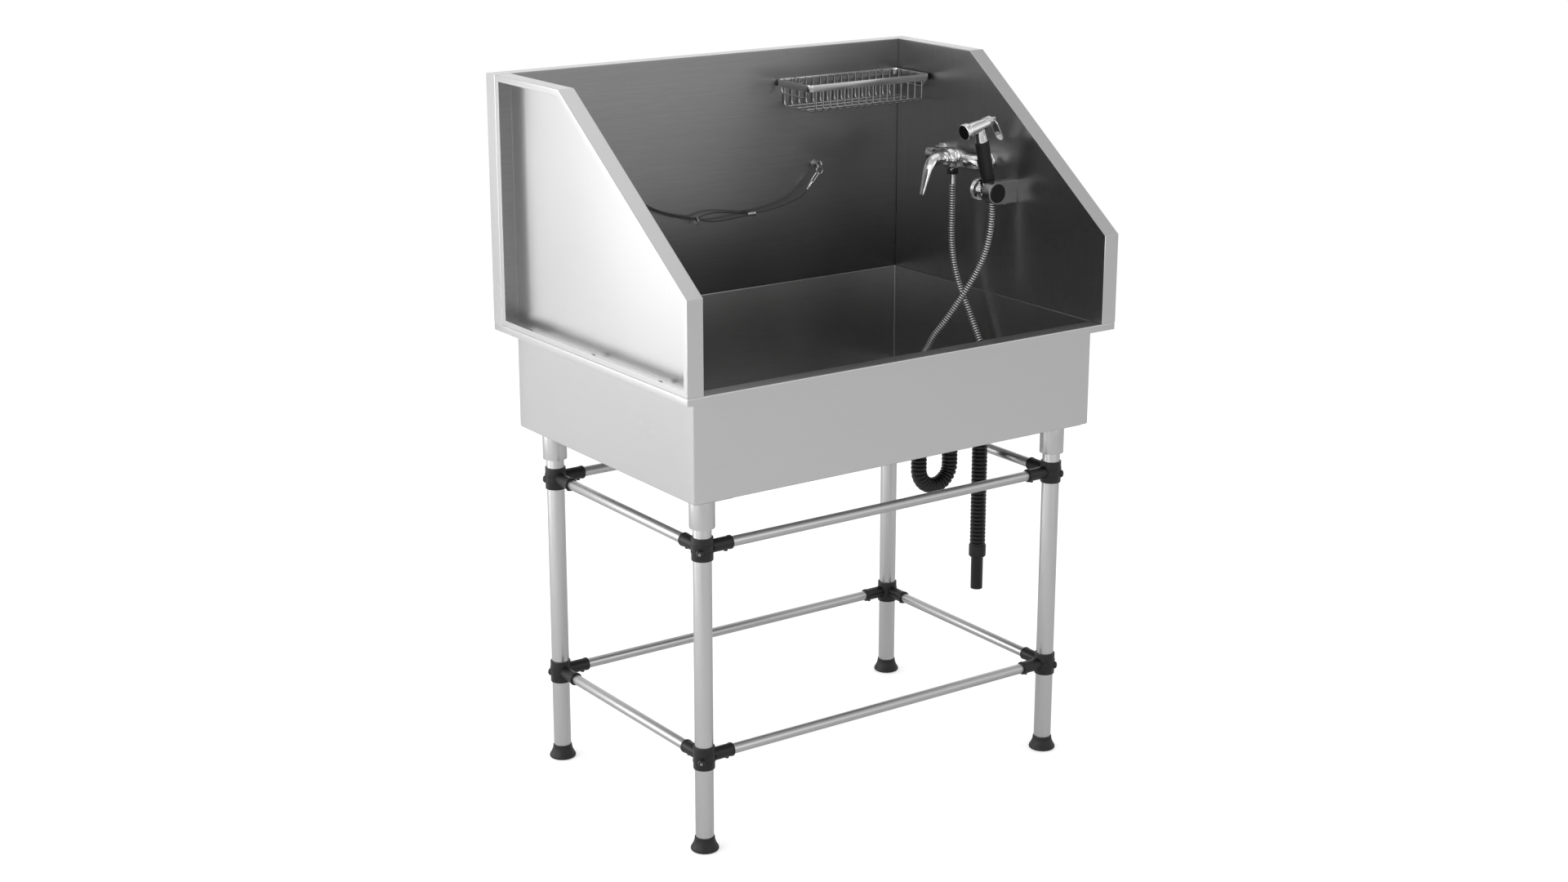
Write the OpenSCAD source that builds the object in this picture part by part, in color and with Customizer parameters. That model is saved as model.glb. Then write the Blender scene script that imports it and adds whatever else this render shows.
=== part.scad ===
// Pet bathtub on a tube stand, with splash panels, mixer, hand sprayer, basket, tether and drain.
// Millimetres, +Z up. The origin is on the floor under the middle of the tub; the open front faces -Y.

/* [Tub] */
// Width over the rim
tub_w = 1000; // [960:10:1100]
// Depth over the rim
tub_d = 697; // [680:1:760]
// Height of the rim above the floor
rim_h = 911.5; // [900:0.5:960]
// Depth of the basin from rim to underside
basin_depth = 209.8; // [180:0.1:215]
// Width of the flat rim around the basin
rim_w = 33; // [30:1:40]
// Height of the rim's folded lip
rim_lip = 14; // [10:1:18]
// Sheet thickness of tub and panels
sheet = 1.5; // [1:0.1:2]

/* [Splash panels] */
// Height of the splash panels above the rim
splash_h = 488.5; // [470:0.5:520]
// Height of the side panels at the front
splash_front_h = 176; // [120:1:240]
// Flat length of the side panels' top
splash_top_len = 238; // [200:1:300]
// Width of the return lip on the outer face
return_lip = 12; // [8:1:16]

/* [Stand] */
// Outer diameter of the legs
leg_d = 35; // [32:1:38]
// Wall of the leg tubes
leg_wall = 2; // [1.5:0.1:3]
// From the tub's side to the leg axis
leg_inset_x = 82; // [80:1:120]
// From the tub's front and back to the leg axes
leg_inset_y = 83; // [81:1:110]
// Outer diameter of the leg sleeves
sleeve_d = 48; // [46:1:52]
// Length of the leg sleeves below their plates
sleeve_len = 58.7; // [50:0.1:62]
// Height of the lower ring of rails
lower_rail_h = 189; // [150:1:260]
// Height of the upper ring of rails
upper_rail_h = 600; // [540:1:604]
// Diameter of the rails
rail_d = 20; // [16:1:22]
// Wall of the rail tubes
rail_wall = 1.5; // [1:0.1:2]
// Height of a clamp's ring
clamp_h = 44; // [40:1:50]
// Reach of a clamp's sockets from the leg axis
clamp_reach = 62; // [56:1:70]
// Base diameter of the feet
foot_d = 54; // [50:1:64]
// Height of the feet
foot_h = 28; // [24:1:36]

/* [Drain] */
// Drain position along the width
drain_x = 212; // [190:1:214]
// Drain position along the depth
drain_y = -100; // [-110:1:-90]
// Distance between the limbs of the drain hose
limb_pitch = 79; // [76:1:80]
// Outer diameter of the drain hose's ridges
drain_hose_d = 32; // [30:1:33]
// Height of the open end of the drain pipe
drain_end_h = 312; // [290:1:330]

/* [Mixer] */
// Mixer position along the depth
mixer_y = 80; // [76:1:84]
// Height of the mixer's axis above the rim
mixer_rise = 271.5; // [268:0.5:276]
// Distance between hot and cold inlets
inlet_pitch = 150; // [146:1:154]
// Distance of the mixer's axis from the wall
mixer_reach = 36; // [34:1:38]

/* [Sprayer] */
// Sprayer position along the depth
sprayer_y = -46; // [-50:1:-42]
// Lean of the sprayer away from the wall, in degrees
sprayer_lean = 13.5; // [12:0.5:15]
// Length of the rubber grip
grip_len = 83.6; // [78:0.2:90]
// Height of the holder above the rim
holder_rise = 223.5; // [220:0.5:227]
// Shower hose diameter
hose_d = 14; // [12:1:14]

/* [Basket] */
// Basket length
basket_w = 309; // [280:1:309]
// Basket depth from the wall
basket_d = 117; // [100:1:140]
// Height of the basket's rim above the tub's rim
basket_rise = 428; // [400:1:440]
// Depth of the basket below its rim
basket_drop = 58; // [45:1:70]
// Wire diameter
wire_d = 3; // [2.5:0.1:3.5]
// Number of wires across the basket
wire_n = 16; // [12:1:18]

/* [Tether] */
// Distance between the tether's eye and its post
eye_span = 494; // [492:1:496]
// Height of the tether's eye and post above the rim
eye_rise = 244.5; // [243:0.5:246]
// Tether cable diameter
cable_d = 2.6; // [2.2:0.1:2.8]

/* [Hidden] */
$fn = 48;
fit = 0.05;                                // radial clearance of a fixed fit
gap = 0.3;                                 // clearance between pieces that move apart

// Tub and panels
basin_x = tub_w / 2 - rim_w;               // outer faces of the basin walls
basin_y = tub_d / 2 - rim_w;
wall_x = basin_x - sheet;                  // inner faces, shared by basin and panels
wall_y = basin_y - sheet;
basin_bottom = rim_h - basin_depth;
basin_floor = basin_bottom + sheet;
panel_t = rim_w + sheet;                   // panel thickness from inner face to return lip
panel_seam = 0.3;                          // open joint between side and back panels
panel_bolt_d = 6;
panel_bolt_in = rim_w / 2 + sheet;         // bolt line, from the inner face outwards
screw_d = 5;

// Stand
leg_x = tub_w / 2 - leg_inset_x;
leg_y = tub_d / 2 - leg_inset_y;
sleeve_plate_t = 3;
sleeve_plate_w = 84;
leg_top = basin_bottom - sleeve_plate_t;
sleeve_bottom = leg_top - sleeve_len;
foot_floor = 8;                            // rubber under the leg's end
clamp_d = leg_d + 6;
socket_d = rail_d + 5;
socket_depth = 24;
rail_end = clamp_reach - socket_depth;     // a rail's end, from the leg axis
clamp_boss = 5;                            // how far a set-screw boss stands proud
set_screw_d = 5;

// Drain
dish_depth = 4;
dish_r = 48;
drain_r = 30;                              // drain body, outside
drain_wall = 3;
drain_lip_r = 40;
drain_base = basin_bottom - 38;            // underside of the drain body
tail_r = 15;
tail_bottom = drain_base - 24;
hose_valley_r = drain_hose_d / 2 - 2.5;
hose_bore_r = hose_valley_r - 2;
rib_pitch = 8;
bend_r = limb_pitch / 2;
low_bend = basin_bottom - 105;             // height of the U bend's centre
high_bend = basin_bottom - 66;             // height of the upper bend's centre
adaptor_len = 27;
adaptor_top = drain_end_h + 96;
hose_seat = 8;                             // how deep the hose sits in the adaptor

// Mixer
mixer_h = rim_h + mixer_rise;
mixer_x = wall_x - mixer_reach;
pivot_out = 17.5;                          // lever pivot, from the mixer's axis
arm_r = 12.5;
hump_r = 23;
collar_r = 12;
hub_r = 15.4;
spigot_drop = 29;
union_len = 10;
flange_len = 4;
tail_pipe_r = 10.48;                       // G 1/2 thread, outside
shoulder_r = 11.6;                         // thread of the union and back nuts
tail_out = 27;                             // tail beyond the panel's inner face

// Sprayer and holder
holder_z = rim_h + holder_rise;
holder_out = 51;                           // holder disc centre, from the wall
holder_r = 23;
holder_t = 22.6;
cradle_r = 15;
cone_top_r = 12;
cone_bottom_r = 9;
cone_len = 36;
grip_x = wall_x - 45.1;                    // grip's lower end
grip_z = rim_h + 242.2;
grip_r1 = 13.5;
grip_r2 = 14.5;
neck_len = 26;
head_axis = grip_len + 33.5;               // height of the head's axis above the grip's lower end
head_front = 40;
head_back = 26;
trigger_x = 33;
trigger_z = head_axis + 5.5;
trigger_tilt = 14;
pin_r = 1.5;

// Basket
basket_top = rim_h + basket_rise;
basket_right = wall_x - 6;                 // right end of the band
basket_left = basket_right - basket_w;
band_h = 14;
band_t = 2;
band_r = 12;

// Tether
eye_x = eye_span / 2;
eye_h = rim_h + eye_rise;

// Name and the signs of X and Y of each corner of the stand
CORNERS = [["front_left", -1, -1], ["front_right", 1, -1], ["back_left", -1, 1], ["back_right", 1, 1]];

// Colours
steel = [0.78, 0.79, 0.80];
bright = [0.86, 0.87, 0.88];
dark = [0.13, 0.13, 0.14];
rubber = [0.10, 0.10, 0.11];
silver = [0.80, 0.81, 0.83];

// ---------- helpers ----------

// A round bar between two points
module bar(a, b, r) {
    d = b - a;
    translate(a)
        rotate([0, acos(d[2] / norm(d)), atan2(d[1], d[0])])
            cylinder(h = norm(d), r = r);
}

// A tube standing on z = 0
module tube(h, r_out, r_in) {
    difference() {
        cylinder(h = h, r = r_out);
        translate([0, 0, -1]) cylinder(h = h + 2, r = r_in);
    }
}

// A ring of round wire lying in the XY plane
module wire_ring(ring_r, wire_r, angle = 360) {
    rotate_extrude(angle = angle) translate([ring_r, 0]) circle(r = wire_r);
}

// A hexagonal nut with a round bore, standing on z = 0
module hex_nut(across, h, bore_r) {
    difference() {
        cylinder(h = h, r = across / sqrt(3), $fn = 6);
        translate([0, 0, -1]) cylinder(h = h + 2, r = bore_r);
    }
}

// Along +X, -X, +Y or -Y instead of +Z
module facing_x(s) rotate([0, s * 90, 0]) children();
module facing_y(s) rotate([-s * 90, 0, 0]) children();

function unit(v) = v / norm(v);

// Corner k of a convex outline moved inwards by d
function inset_corner(p, k, d) =
    let (n = len(p), a = p[(k + n - 1) % n], b = p[k], c = p[(k + 1) % n])
    let (u = unit(b - a), v = unit(c - b))
    let (nu = [-u[1], u[0]], nv = [-v[1], v[0]])
    b + (nu + nv) * d / (1 + nu * nv);
function inset(p, d) = [for (k = [0 : len(p) - 1]) inset_corner(p, k, d)];

// A folded tray in the XY plane: face sheet at z = 0, flanges up to depth, return lip at the top
module tray(outline, depth, lip) {
    linear_extrude(sheet) polygon(outline);
    difference() {
        linear_extrude(depth) polygon(outline);
        translate([0, 0, -1]) linear_extrude(depth + 2) polygon(inset(outline, sheet));
    }
    translate([0, 0, depth - sheet])
        difference() {
            linear_extrude(sheet) polygon(outline);
            translate([0, 0, -1]) linear_extrude(sheet + 2) polygon(inset(outline, lip));
        }
}

// Sweep of a round section along a route, with its frame carried from point to point
function tangent(p, i) = unit(p[min(i + 1, len(p) - 1)] - p[max(i - 1, 0)]);
function carried(n, t) = unit(n - t * (n * t));
function normals(p, n0, i = 0, out = []) =
    i == len(p) ? out
    : let (n = carried(i == 0 ? n0 : out[i - 1], tangent(p, i))) normals(p, n0, i + 1, concat(out, [n]));

// sizes holds a half-width along the carried normal and one across it for each point
module swept(p, sizes, n0, sides) {
    n = normals(p, n0);
    last = len(p) - 1;
    points = [for (i = [0 : last]) for (k = [0 : sides - 1])
        let (a = 360 * k / sides, b = cross(tangent(p, i), n[i]))
        p[i] + n[i] * sizes[i][0] * cos(a) + b * sizes[i][1] * sin(a)];
    walls = [for (i = [0 : last - 1]) for (k = [0 : sides - 1]) for (half = [0, 1])
        let (j = (k + 1) % sides, q = i * sides, r = q + sides)
        half == 0 ? [q + k, r + k, q + j] : [q + j, r + k, r + j]];
    caps = [[for (k = [0 : sides - 1]) k], [for (k = [0 : sides - 1]) last * sides + sides - 1 - k]];
    polyhedron(points = points, faces = concat(walls, caps));
}
module cord(p, d, n0, sides) swept(p, [for (q = p) [d / 2, d / 2]], n0, sides);

// ---------- tub ----------

module basin() color(steel) difference() {
    union() {
        // the box, its flat rim and the rim's folded lip
        translate([-basin_x, -basin_y, basin_bottom]) cube([2 * basin_x, 2 * basin_y, basin_depth]);
        translate([-tub_w / 2, -tub_d / 2, rim_h - sheet]) cube([tub_w, tub_d, sheet]);
        difference() {
            translate([-tub_w / 2, -tub_d / 2, rim_h - rim_lip]) cube([tub_w, tub_d, rim_lip]);
            translate([-tub_w / 2 + sheet, -tub_d / 2 + sheet, rim_h - rim_lip - 1])
                cube([tub_w - 2 * sheet, tub_d - 2 * sheet, rim_lip + 2]);
        }
        translate([drain_x, drain_y, basin_bottom - dish_depth])
            cylinder(h = dish_depth + sheet / 2, r1 = dish_r - dish_depth, r2 = dish_r);
    }
    translate([-wall_x, -wall_y, basin_floor]) cube([2 * wall_x, 2 * wall_y, basin_depth]);
    translate([drain_x, drain_y, basin_floor - dish_depth])
        cylinder(h = dish_depth, r1 = dish_r - dish_depth - sheet, r2 = dish_r - sheet);
    translate([drain_x, drain_y, basin_bottom - dish_depth - 1]) cylinder(h = 10, r = drain_r + fit);
    for (p = BOLTS) translate([p[0], p[1], rim_h - sheet - 1]) cylinder(h = sheet + 2, r = panel_bolt_d / 2 + fit);
}

// Bolts through the rim: three under each side panel and three under the back panel
bolt_x = wall_x + panel_bolt_in;
bolt_y = wall_y + panel_bolt_in;
BOLTS = concat(
    [for (s = [-1, 1]) for (k = [-1, 0, 1]) [s * bolt_x, k * tub_d / 3]],
    [for (k = [-1, 0, 1]) [k * tub_w / 3, bolt_y]]
);

module panel_bolts() color(bright) for (p = BOLTS) translate([p[0], p[1], rim_h - sheet]) {
    translate([0, 0, -4]) cylinder(h = 4, r = 10 / sqrt(3), $fn = 6);
    cylinder(h = 2 * sheet + 5, r = panel_bolt_d / 2);
    translate([0, 0, 2 * sheet]) cylinder(h = 4, r = 10 / sqrt(3), $fn = 6);
}

// ---------- splash panels ----------

side_back = wall_y - panel_seam;
side_outline = [
    [-tub_d / 2, 0],
    [side_back, 0],
    [side_back, splash_h],
    [side_back - splash_top_len, splash_h],
    [-tub_d / 2, splash_front_h]
];

// A side panel's outline is drawn with Y to the right and Z up, then stood on the rim
module side_tray() translate([wall_x, 0, rim_h]) rotate([90, 0, 90]) tray(side_outline, panel_t, return_lip);
module rim_bolt_holes() for (p = BOLTS)
    translate([p[0], p[1], rim_h - 1]) cylinder(h = sheet + 2, r = panel_bolt_d / 2 + fit);

module left_splash_panel() color(steel) difference() {
    mirror([1, 0, 0]) side_tray();
    rim_bolt_holes();
}

module right_splash_panel() color(steel) difference() {
    side_tray();
    rim_bolt_holes();
    for (s = [-1, 1]) translate([wall_x - 1, mixer_y + s * inlet_pitch / 2, mixer_h])
        facing_x(1) cylinder(h = sheet + 2, r = shoulder_r + fit);
    translate([wall_x - 1, holder_bolt_y, holder_z]) facing_x(1) cylinder(h = sheet + 2, r = screw_d / 2 + fit);
}

module back_splash_panel() color(steel) difference() {
    translate([0, wall_y, rim_h]) rotate([90, 0, 180])
        tray([[-tub_w / 2, 0], [tub_w / 2, 0], [tub_w / 2, splash_h], [-tub_w / 2, splash_h]], panel_t, return_lip);
    rim_bolt_holes();
    for (p = WALL_SCREWS) translate([p[0], wall_y - 1, p[1]])
        facing_y(1) cylinder(h = sheet + 2, r = screw_d / 2 + fit);
}

// Screws through the back panel, as X and Z: two for the basket, one for each tether eye
basket_screw_in = 46;
WALL_SCREWS = [
    [basket_left + basket_screw_in, basket_top - 3],
    [basket_right - basket_screw_in, basket_top - 3],
    [-eye_x, eye_h],
    [eye_x, eye_h]
];

// ---------- stand ----------

module at_corner(c) translate([c[1] * leg_x, c[2] * leg_y, 0]) children();

module leg(c) color(silver) at_corner(c) difference() {
    translate([0, 0, foot_floor]) cylinder(h = leg_top - foot_floor, r = leg_d / 2);
    translate([0, 0, foot_floor - 1]) cylinder(h = leg_top - foot_floor + 2, r = leg_d / 2 - leg_wall);
}

module leg_sleeves() color(steel) for (c = CORNERS) at_corner(c) difference() {
    union() {
        translate([0, 0, sleeve_bottom]) cylinder(h = sleeve_len, r = sleeve_d / 2);
        translate([-sleeve_plate_w / 2, -sleeve_plate_w / 2, leg_top])
            cube([sleeve_plate_w, sleeve_plate_w, sleeve_plate_t]);
    }
    translate([0, 0, sleeve_bottom - 1]) cylinder(h = sleeve_len + 1, r = leg_d / 2 + fit);
    translate([0, 0, sleeve_screw_z]) rotate([0, 90, diagonal(c)])
        cylinder(h = sleeve_d, r = set_screw_d / 2 + fit);
}

// Direction from a leg outwards, away from the middle of the stand
function diagonal(c) = atan2(c[2], c[1]);
sleeve_screw_z = sleeve_bottom + 9;

// A foot is a flared rubber cap under the leg's end
module feet() color(rubber) for (c = CORNERS) at_corner(c) rotate_extrude() polygon([
    [0, 0], [foot_d / 2 - 3, 0], [foot_d / 2 - 0.8, 1], [foot_d / 2, 3.5], [foot_d / 2 - 0.6, 7],
    [foot_d / 2 - 5, 13], [leg_d / 2 + 2.4, foot_h - 5], [leg_d / 2 + 1.6, foot_h],
    [leg_d / 2 + fit, foot_h], [leg_d / 2 + fit, foot_floor], [0, foot_floor]
]);

// Three-way clamp: a ring round the leg, a socket towards each neighbour and a boss on the outside
module clamp(c, z) color(dark) at_corner(c) translate([0, 0, z]) difference() {
    union() {
        translate([0, 0, -clamp_h / 2]) cylinder(h = clamp_h, r = clamp_d / 2);
        for (k = [-1, 1]) translate([0, 0, k * 6.5 - 1.5]) cylinder(h = 3, r = clamp_d / 2 + 1);
        for (d = sockets(c)) rotate([0, 90, d]) {
            cylinder(h = clamp_reach, r = socket_d / 2);
            translate([0, 0, clamp_reach - 5]) cylinder(h = 5, r = socket_d / 2 + 0.8);
            // small boss for the rail's set screw, underneath
            translate([0, 0, clamp_reach - 11]) rotate([0, 90, 0]) cylinder(h = socket_d / 2 + 2.5, r = 4);
        }
        translate([0, 0, boss_drop]) rotate([0, 90, diagonal(c)])
            cylinder(h = clamp_d / 2 + clamp_boss, r1 = 8, r2 = 4.6);
    }
    translate([0, 0, -clamp_h]) cylinder(h = 2 * clamp_h, r = leg_d / 2 + fit);
    for (d = sockets(c)) rotate([0, 90, d]) {
        translate([0, 0, rail_end]) cylinder(h = clamp_reach, r = rail_d / 2 + fit);
        translate([0, 0, clamp_reach - 11]) rotate([0, 90, 0])
            cylinder(h = socket_d, r = set_screw_d / 2 + fit);
    }
    translate([0, 0, boss_drop]) rotate([0, 90, diagonal(c)])
        cylinder(h = clamp_d, r = set_screw_d / 2 + fit);
}
boss_drop = -5;

// Directions of a clamp's two sockets, towards the other legs
function sockets(c) = [c[1] > 0 ? 180 : 0, c[2] > 0 ? -90 : 90];

// Set screws: one in each sleeve, three in each clamp
module set_screw(from, to) difference() {
    translate([0, 0, from]) cylinder(h = to - from, r = set_screw_d / 2);
    translate([0, 0, to - 2]) cylinder(h = 3, r = 1.5, $fn = 6);
}
module set_screws() color(bright) for (c = CORNERS) at_corner(c) {
    translate([0, 0, sleeve_screw_z]) rotate([0, 90, diagonal(c)])
        set_screw(leg_d / 2 + fit, sleeve_d / 2 - 1);
    for (z = [lower_rail_h, upper_rail_h]) translate([0, 0, z]) {
        translate([0, 0, boss_drop]) rotate([0, 90, diagonal(c)])
            set_screw(leg_d / 2 + fit, clamp_d / 2 + clamp_boss + 0.5);
        for (d = sockets(c)) rotate([0, 90, d]) translate([0, 0, clamp_reach - 11]) rotate([0, 90, 0])
            set_screw(rail_d / 2 + fit, socket_d / 2 + 3);
    }
}

module long_rails(z) color(silver) for (s = [-1, 1])
    translate([-leg_x + rail_end, s * leg_y, z]) facing_x(1)
        tube(2 * (leg_x - rail_end), rail_d / 2, rail_d / 2 - rail_wall);
module short_rails(z) color(silver) for (s = [-1, 1])
    translate([s * leg_x, -leg_y + rail_end, z]) facing_y(1)
        tube(2 * (leg_y - rail_end), rail_d / 2, rail_d / 2 - rail_wall);

// ---------- drain ----------

strainer_ledge = basin_bottom - 10;
module at_drain() translate([drain_x, drain_y, 0]) children();

// Flange and body in one turned piece, with a ledge for the strainer and a tail for the hose
module drain_flange() color(bright) at_drain() rotate_extrude() polygon([
    [drain_r - drain_wall, strainer_ledge], [drain_r - drain_wall, basin_floor - dish_depth + 1],
    [drain_r, basin_floor - dish_depth + 2], [drain_lip_r, basin_floor - dish_depth + 1],
    [drain_lip_r, basin_floor - dish_depth], [drain_r, basin_floor - dish_depth],
    [drain_r, drain_base], [tail_r, drain_base], [tail_r, tail_bottom],
    [tail_r - drain_wall, tail_bottom], [tail_r - drain_wall, drain_base + drain_wall],
    [drain_r - 2 * drain_wall, drain_base + drain_wall], [drain_r - 2 * drain_wall, strainer_ledge]
]);

// Lift-out strainer: a perforated disc with a knob
module drain_strainer() color(bright) at_drain() translate([0, 0, strainer_ledge + gap]) {
    difference() {
        cylinder(h = 2, r = drain_r - drain_wall - gap);
        for (ring = [[8, 11], [14, 18]]) for (k = [1 : ring[0]])
            rotate([0, 0, 360 * k / ring[0]]) translate([ring[1] , 0, -1]) cylinder(h = 4, r = 2.2);
    }
    rotate_extrude() polygon([[0, 1], [6.5, 1], [6.5, 3], [3, 4], [3, 9], [5.5, 11], [5.5, 13], [4, 14], [0, 14]]);
}

module drain_gasket() color(rubber) at_drain()
    translate([0, 0, basin_bottom - dish_depth - 2]) tube(2, drain_lip_r + 2, drain_r + fit);

module drain_locknut() color(dark) at_drain() translate([0, 0, basin_bottom - dish_depth - 10]) difference() {
    cylinder(h = 8, r = drain_lip_r + 4);
    translate([0, 0, -1]) cylinder(h = 10, r = drain_r + fit);
    for (k = [0 : 7]) rotate([0, 0, 45 * k]) translate([drain_lip_r + 5, 0, -1]) cylinder(h = 10, r = 5);
}

hose_top = tail_bottom;
module drain_tail_nut() color(dark) at_drain() difference() {
    translate([0, 0, hose_top - 8]) cylinder(h = 28, r = drain_hose_d / 2 + 5);
    translate([0, 0, hose_top - 9]) cylinder(h = 9, r = drain_hose_d / 2 + fit);
    translate([0, 0, hose_top - 1]) cylinder(h = 30, r = tail_r + fit);
    for (k = [0 : 11]) rotate([0, 0, 30 * k]) translate([drain_hose_d / 2 + 6.5, 0, hose_top - 9])
        cylinder(h = 30, r = 2.2);
}

// A straight ribbed length, standing on z = 0, with its rib pitch fitted to its length
module ribbed(h) {
    n = round(h / rib_pitch);
    p = h / n;
    r1 = hose_valley_r;
    r2 = drain_hose_d / 2;
    rotate_extrude() polygon(concat(
        [[hose_bore_r, 0], [r1, 0]],
        [for (k = [0 : n - 1]) for (q = [[0.2, r1], [0.42, r2], [0.58, r2], [0.8, r1]]) [q[1], (k + q[0]) * p]],
        [[r1, h], [hose_bore_r, h]]
    ));
}

// A half turn of plain hose with ribs standing round it, in the XZ plane
module ribbed_bend() {
    n = round(180 * bend_r * PI / 180 / rib_pitch);
    rotate([90, 0, 0]) difference() {
        union() {
            wire_ring(bend_r, hose_valley_r, 180);
            for (k = [0 : n - 1]) rotate([0, 0, (k + 0.5) * 180 / n]) translate([bend_r, 0, 0]) facing_y(1)
                translate([0, 0, -0.9]) cylinder(h = 1.8, r = drain_hose_d / 2);
        }
        wire_ring(bend_r, hose_bore_r, 180);
    }
}

module drain_hose() color(rubber) translate([drain_x, drain_y, 0]) {
    translate([0, 0, low_bend]) ribbed(hose_top - low_bend);
    translate([bend_r, 0, low_bend]) mirror([0, 0, 1]) ribbed_bend();
    translate([limb_pitch, 0, low_bend]) ribbed(high_bend - low_bend);
    translate([limb_pitch + bend_r, 0, high_bend]) ribbed_bend();
    translate([2 * limb_pitch, 0, adaptor_top - hose_seat]) ribbed(high_bend - adaptor_top + hose_seat);
}

module drain_adaptor() color(dark) translate([drain_x + 2 * limb_pitch, drain_y, 0]) difference() {
    union() {
        translate([0, 0, drain_end_h]) cylinder(h = adaptor_top - drain_end_h, r = 12.5);
        translate([0, 0, adaptor_top - adaptor_len + 3]) cylinder(h = adaptor_len - 3, r = drain_hose_d / 2 + 1.7);
        translate([0, 0, adaptor_top - adaptor_len]) cylinder(h = 3, r1 = 14.5, r2 = drain_hose_d / 2 + 1.7);
    }
    translate([0, 0, drain_end_h - 1]) cylinder(h = adaptor_top, r = 10.5);
    translate([0, 0, adaptor_top - hose_seat]) cylinder(h = hose_seat + 1, r = drain_hose_d / 2 + fit);
}

// ---------- mixer ----------

pivot = [mixer_x - pivot_out, mixer_y, mixer_h];
housing_front = pivot[0] + 9;
union_start = wall_x - flange_len - union_len;
outlet_z = mixer_h - spigot_drop;
module at_mixer() translate([mixer_x, mixer_y, mixer_h]) children();
module at_inlets() for (s = [-1, 1]) translate([mixer_x, mixer_y + s * inlet_pitch / 2, mixer_h]) children();

// A barrel with a thicker middle; its two branches reach back to the unions
barrel_end = inlet_pitch / 2 + 13;
module mixer_body() color(bright) difference() {
    union() {
        at_mixer() facing_y(1) rotate_extrude() polygon([
            [0, -barrel_end], [arm_r - 4, -barrel_end], [arm_r, 5 - barrel_end], [arm_r + 0.5, -34],
            [hump_r - 4.5, -17], [hump_r - 2, -8], [hump_r - 2, 8], [hump_r - 4.5, 17],
            [arm_r + 0.5, 34], [arm_r, barrel_end - 5], [arm_r - 4, barrel_end], [0, barrel_end]
        ]);
        at_inlets() facing_x(1) cylinder(h = union_start - mixer_x, r = arm_r - 0.5);
        // the outlet below it
        translate([mixer_x, mixer_y, outlet_z]) cylinder(h = spigot_drop, r = 10);
    }
    // room for the lever's cap, cartridge bore, and the waterways' ends
    translate([housing_front - 40, mixer_y - 20, mixer_h - 30]) cube([40, 40, 60]);
    translate([housing_front - 1, mixer_y, mixer_h]) facing_x(1) cylinder(h = 26, r = 11 + fit);
    at_inlets() translate([6, 0, 0]) facing_x(1) cylinder(h = 60, r = 7.5);
    translate([mixer_x, mixer_y, outlet_z - 1]) cylinder(h = 12, r = 6);
}

// Wall flange and threaded tail in one piece, through the right panel
module wall_connectors() color(bright) at_inlets() difference() {
    union() {
        translate([union_start - mixer_x, 0, 0]) facing_x(1) cylinder(h = flange_len + union_len + sheet + 6.5, r = shoulder_r);
        translate([union_start - mixer_x, 0, 0]) facing_x(1) cylinder(h = union_len + tail_out, r = tail_pipe_r);
        translate([mixer_reach - flange_len, 0, 0]) facing_x(1) cylinder(h = flange_len, r = 18);
    }
    facing_x(1) cylinder(h = mixer_reach + tail_out + 1, r = 7.5);
}

module union_nuts() color(bright) at_inlets() translate([union_start - mixer_x, 0, 0])
    facing_x(1) hex_nut(28, union_len - gap, shoulder_r + fit);

module connector_backnuts() color(bright) at_inlets() translate([mixer_reach + sheet, 0, 0])
    facing_x(1) hex_nut(27, 6, shoulder_r + fit);

// Ball-shaped nut that holds the cartridge and carries the lever's cap
module mixer_collar() color(bright) translate(pivot) facing_x(1) difference() {
    rotate_extrude() polygon([
        [0, -7.5], [9.4, -7.5], [10.8, -5.2], [11.8, -2.2], [collar_r, 0], [11.8, 2.2], [10.8, 5.2], [8, 8.9], [0, 8.9]
    ]);
    translate([0, 0, -20]) cylinder(h = 40, r = 9);
}

module mixer_cartridge() color(dark) translate([housing_front + 3, mixer_y, mixer_h])
    facing_x(1) cylinder(h = 22 - fit, r = 11);

// The carrier turns in the collar and holds the stem's ball
module cartridge_carrier() color(dark) translate(pivot) difference() {
    translate([-5, 0, 0]) facing_x(1) cylinder(h = 14 + 3 - gap, r = 9 - gap);
    sphere(r = 5 + gap);
    facing_x(-1) cylinder(h = 20, r1 = 5, r2 = 14);
}

module mixer_stem() color(bright) translate(pivot) {
    sphere(r = 5);
    facing_x(-1) cylinder(h = 20, r = 3.5);
}

// Lever centre line from the pivot: outwards and up, with half-widths across and along the depth
LEVER = [
    [8, 1, 10.5, 12.5], [14, 2.5, 11.5, 13], [21, 3, 11.5, 13.4], [28, 1.5, 11, 13.6], [34.5, -2, 10.3, 13.6],
    [40, -7.5, 9.4, 13.3], [44.5, -14.5, 8.2, 12.8], [48.3, -23, 6.9, 12], [51.8, -33, 5.6, 10.8],
    [55, -43.5, 4.5, 9.4], [58, -54, 3.6, 8], [60.8, -63, 2.9, 6.8], [62.6, -68.5, 2.2, 5.6], [63.4, -71, 1.1, 3.4]
];
module mixer_lever() color(bright) translate(pivot) difference() {
    union() {
        difference() {
            sphere(r = hub_r);
            translate([-1.5, -20, -20]) cube(40);
        }
        swept([for (q = LEVER) [-q[0], 0, q[1]]], [for (q = LEVER) [q[2], q[3]]], [0, 0, 1], 24);
    }
    sphere(r = collar_r + 0.4);
    facing_x(-1) cylinder(h = 20 + fit, r = 3.5 + fit);
    translate([0, -20, -40]) cube([40, 40, 80]);
}

// ---------- sprayer, its holder and hose ----------

// Frame of the sprayer: origin at the grip's lower end, +Z up the grip, -X towards the spray face
module on_sprayer() translate([grip_x, sprayer_y, grip_z]) rotate([0, -sprayer_lean, 0]) children();

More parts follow.
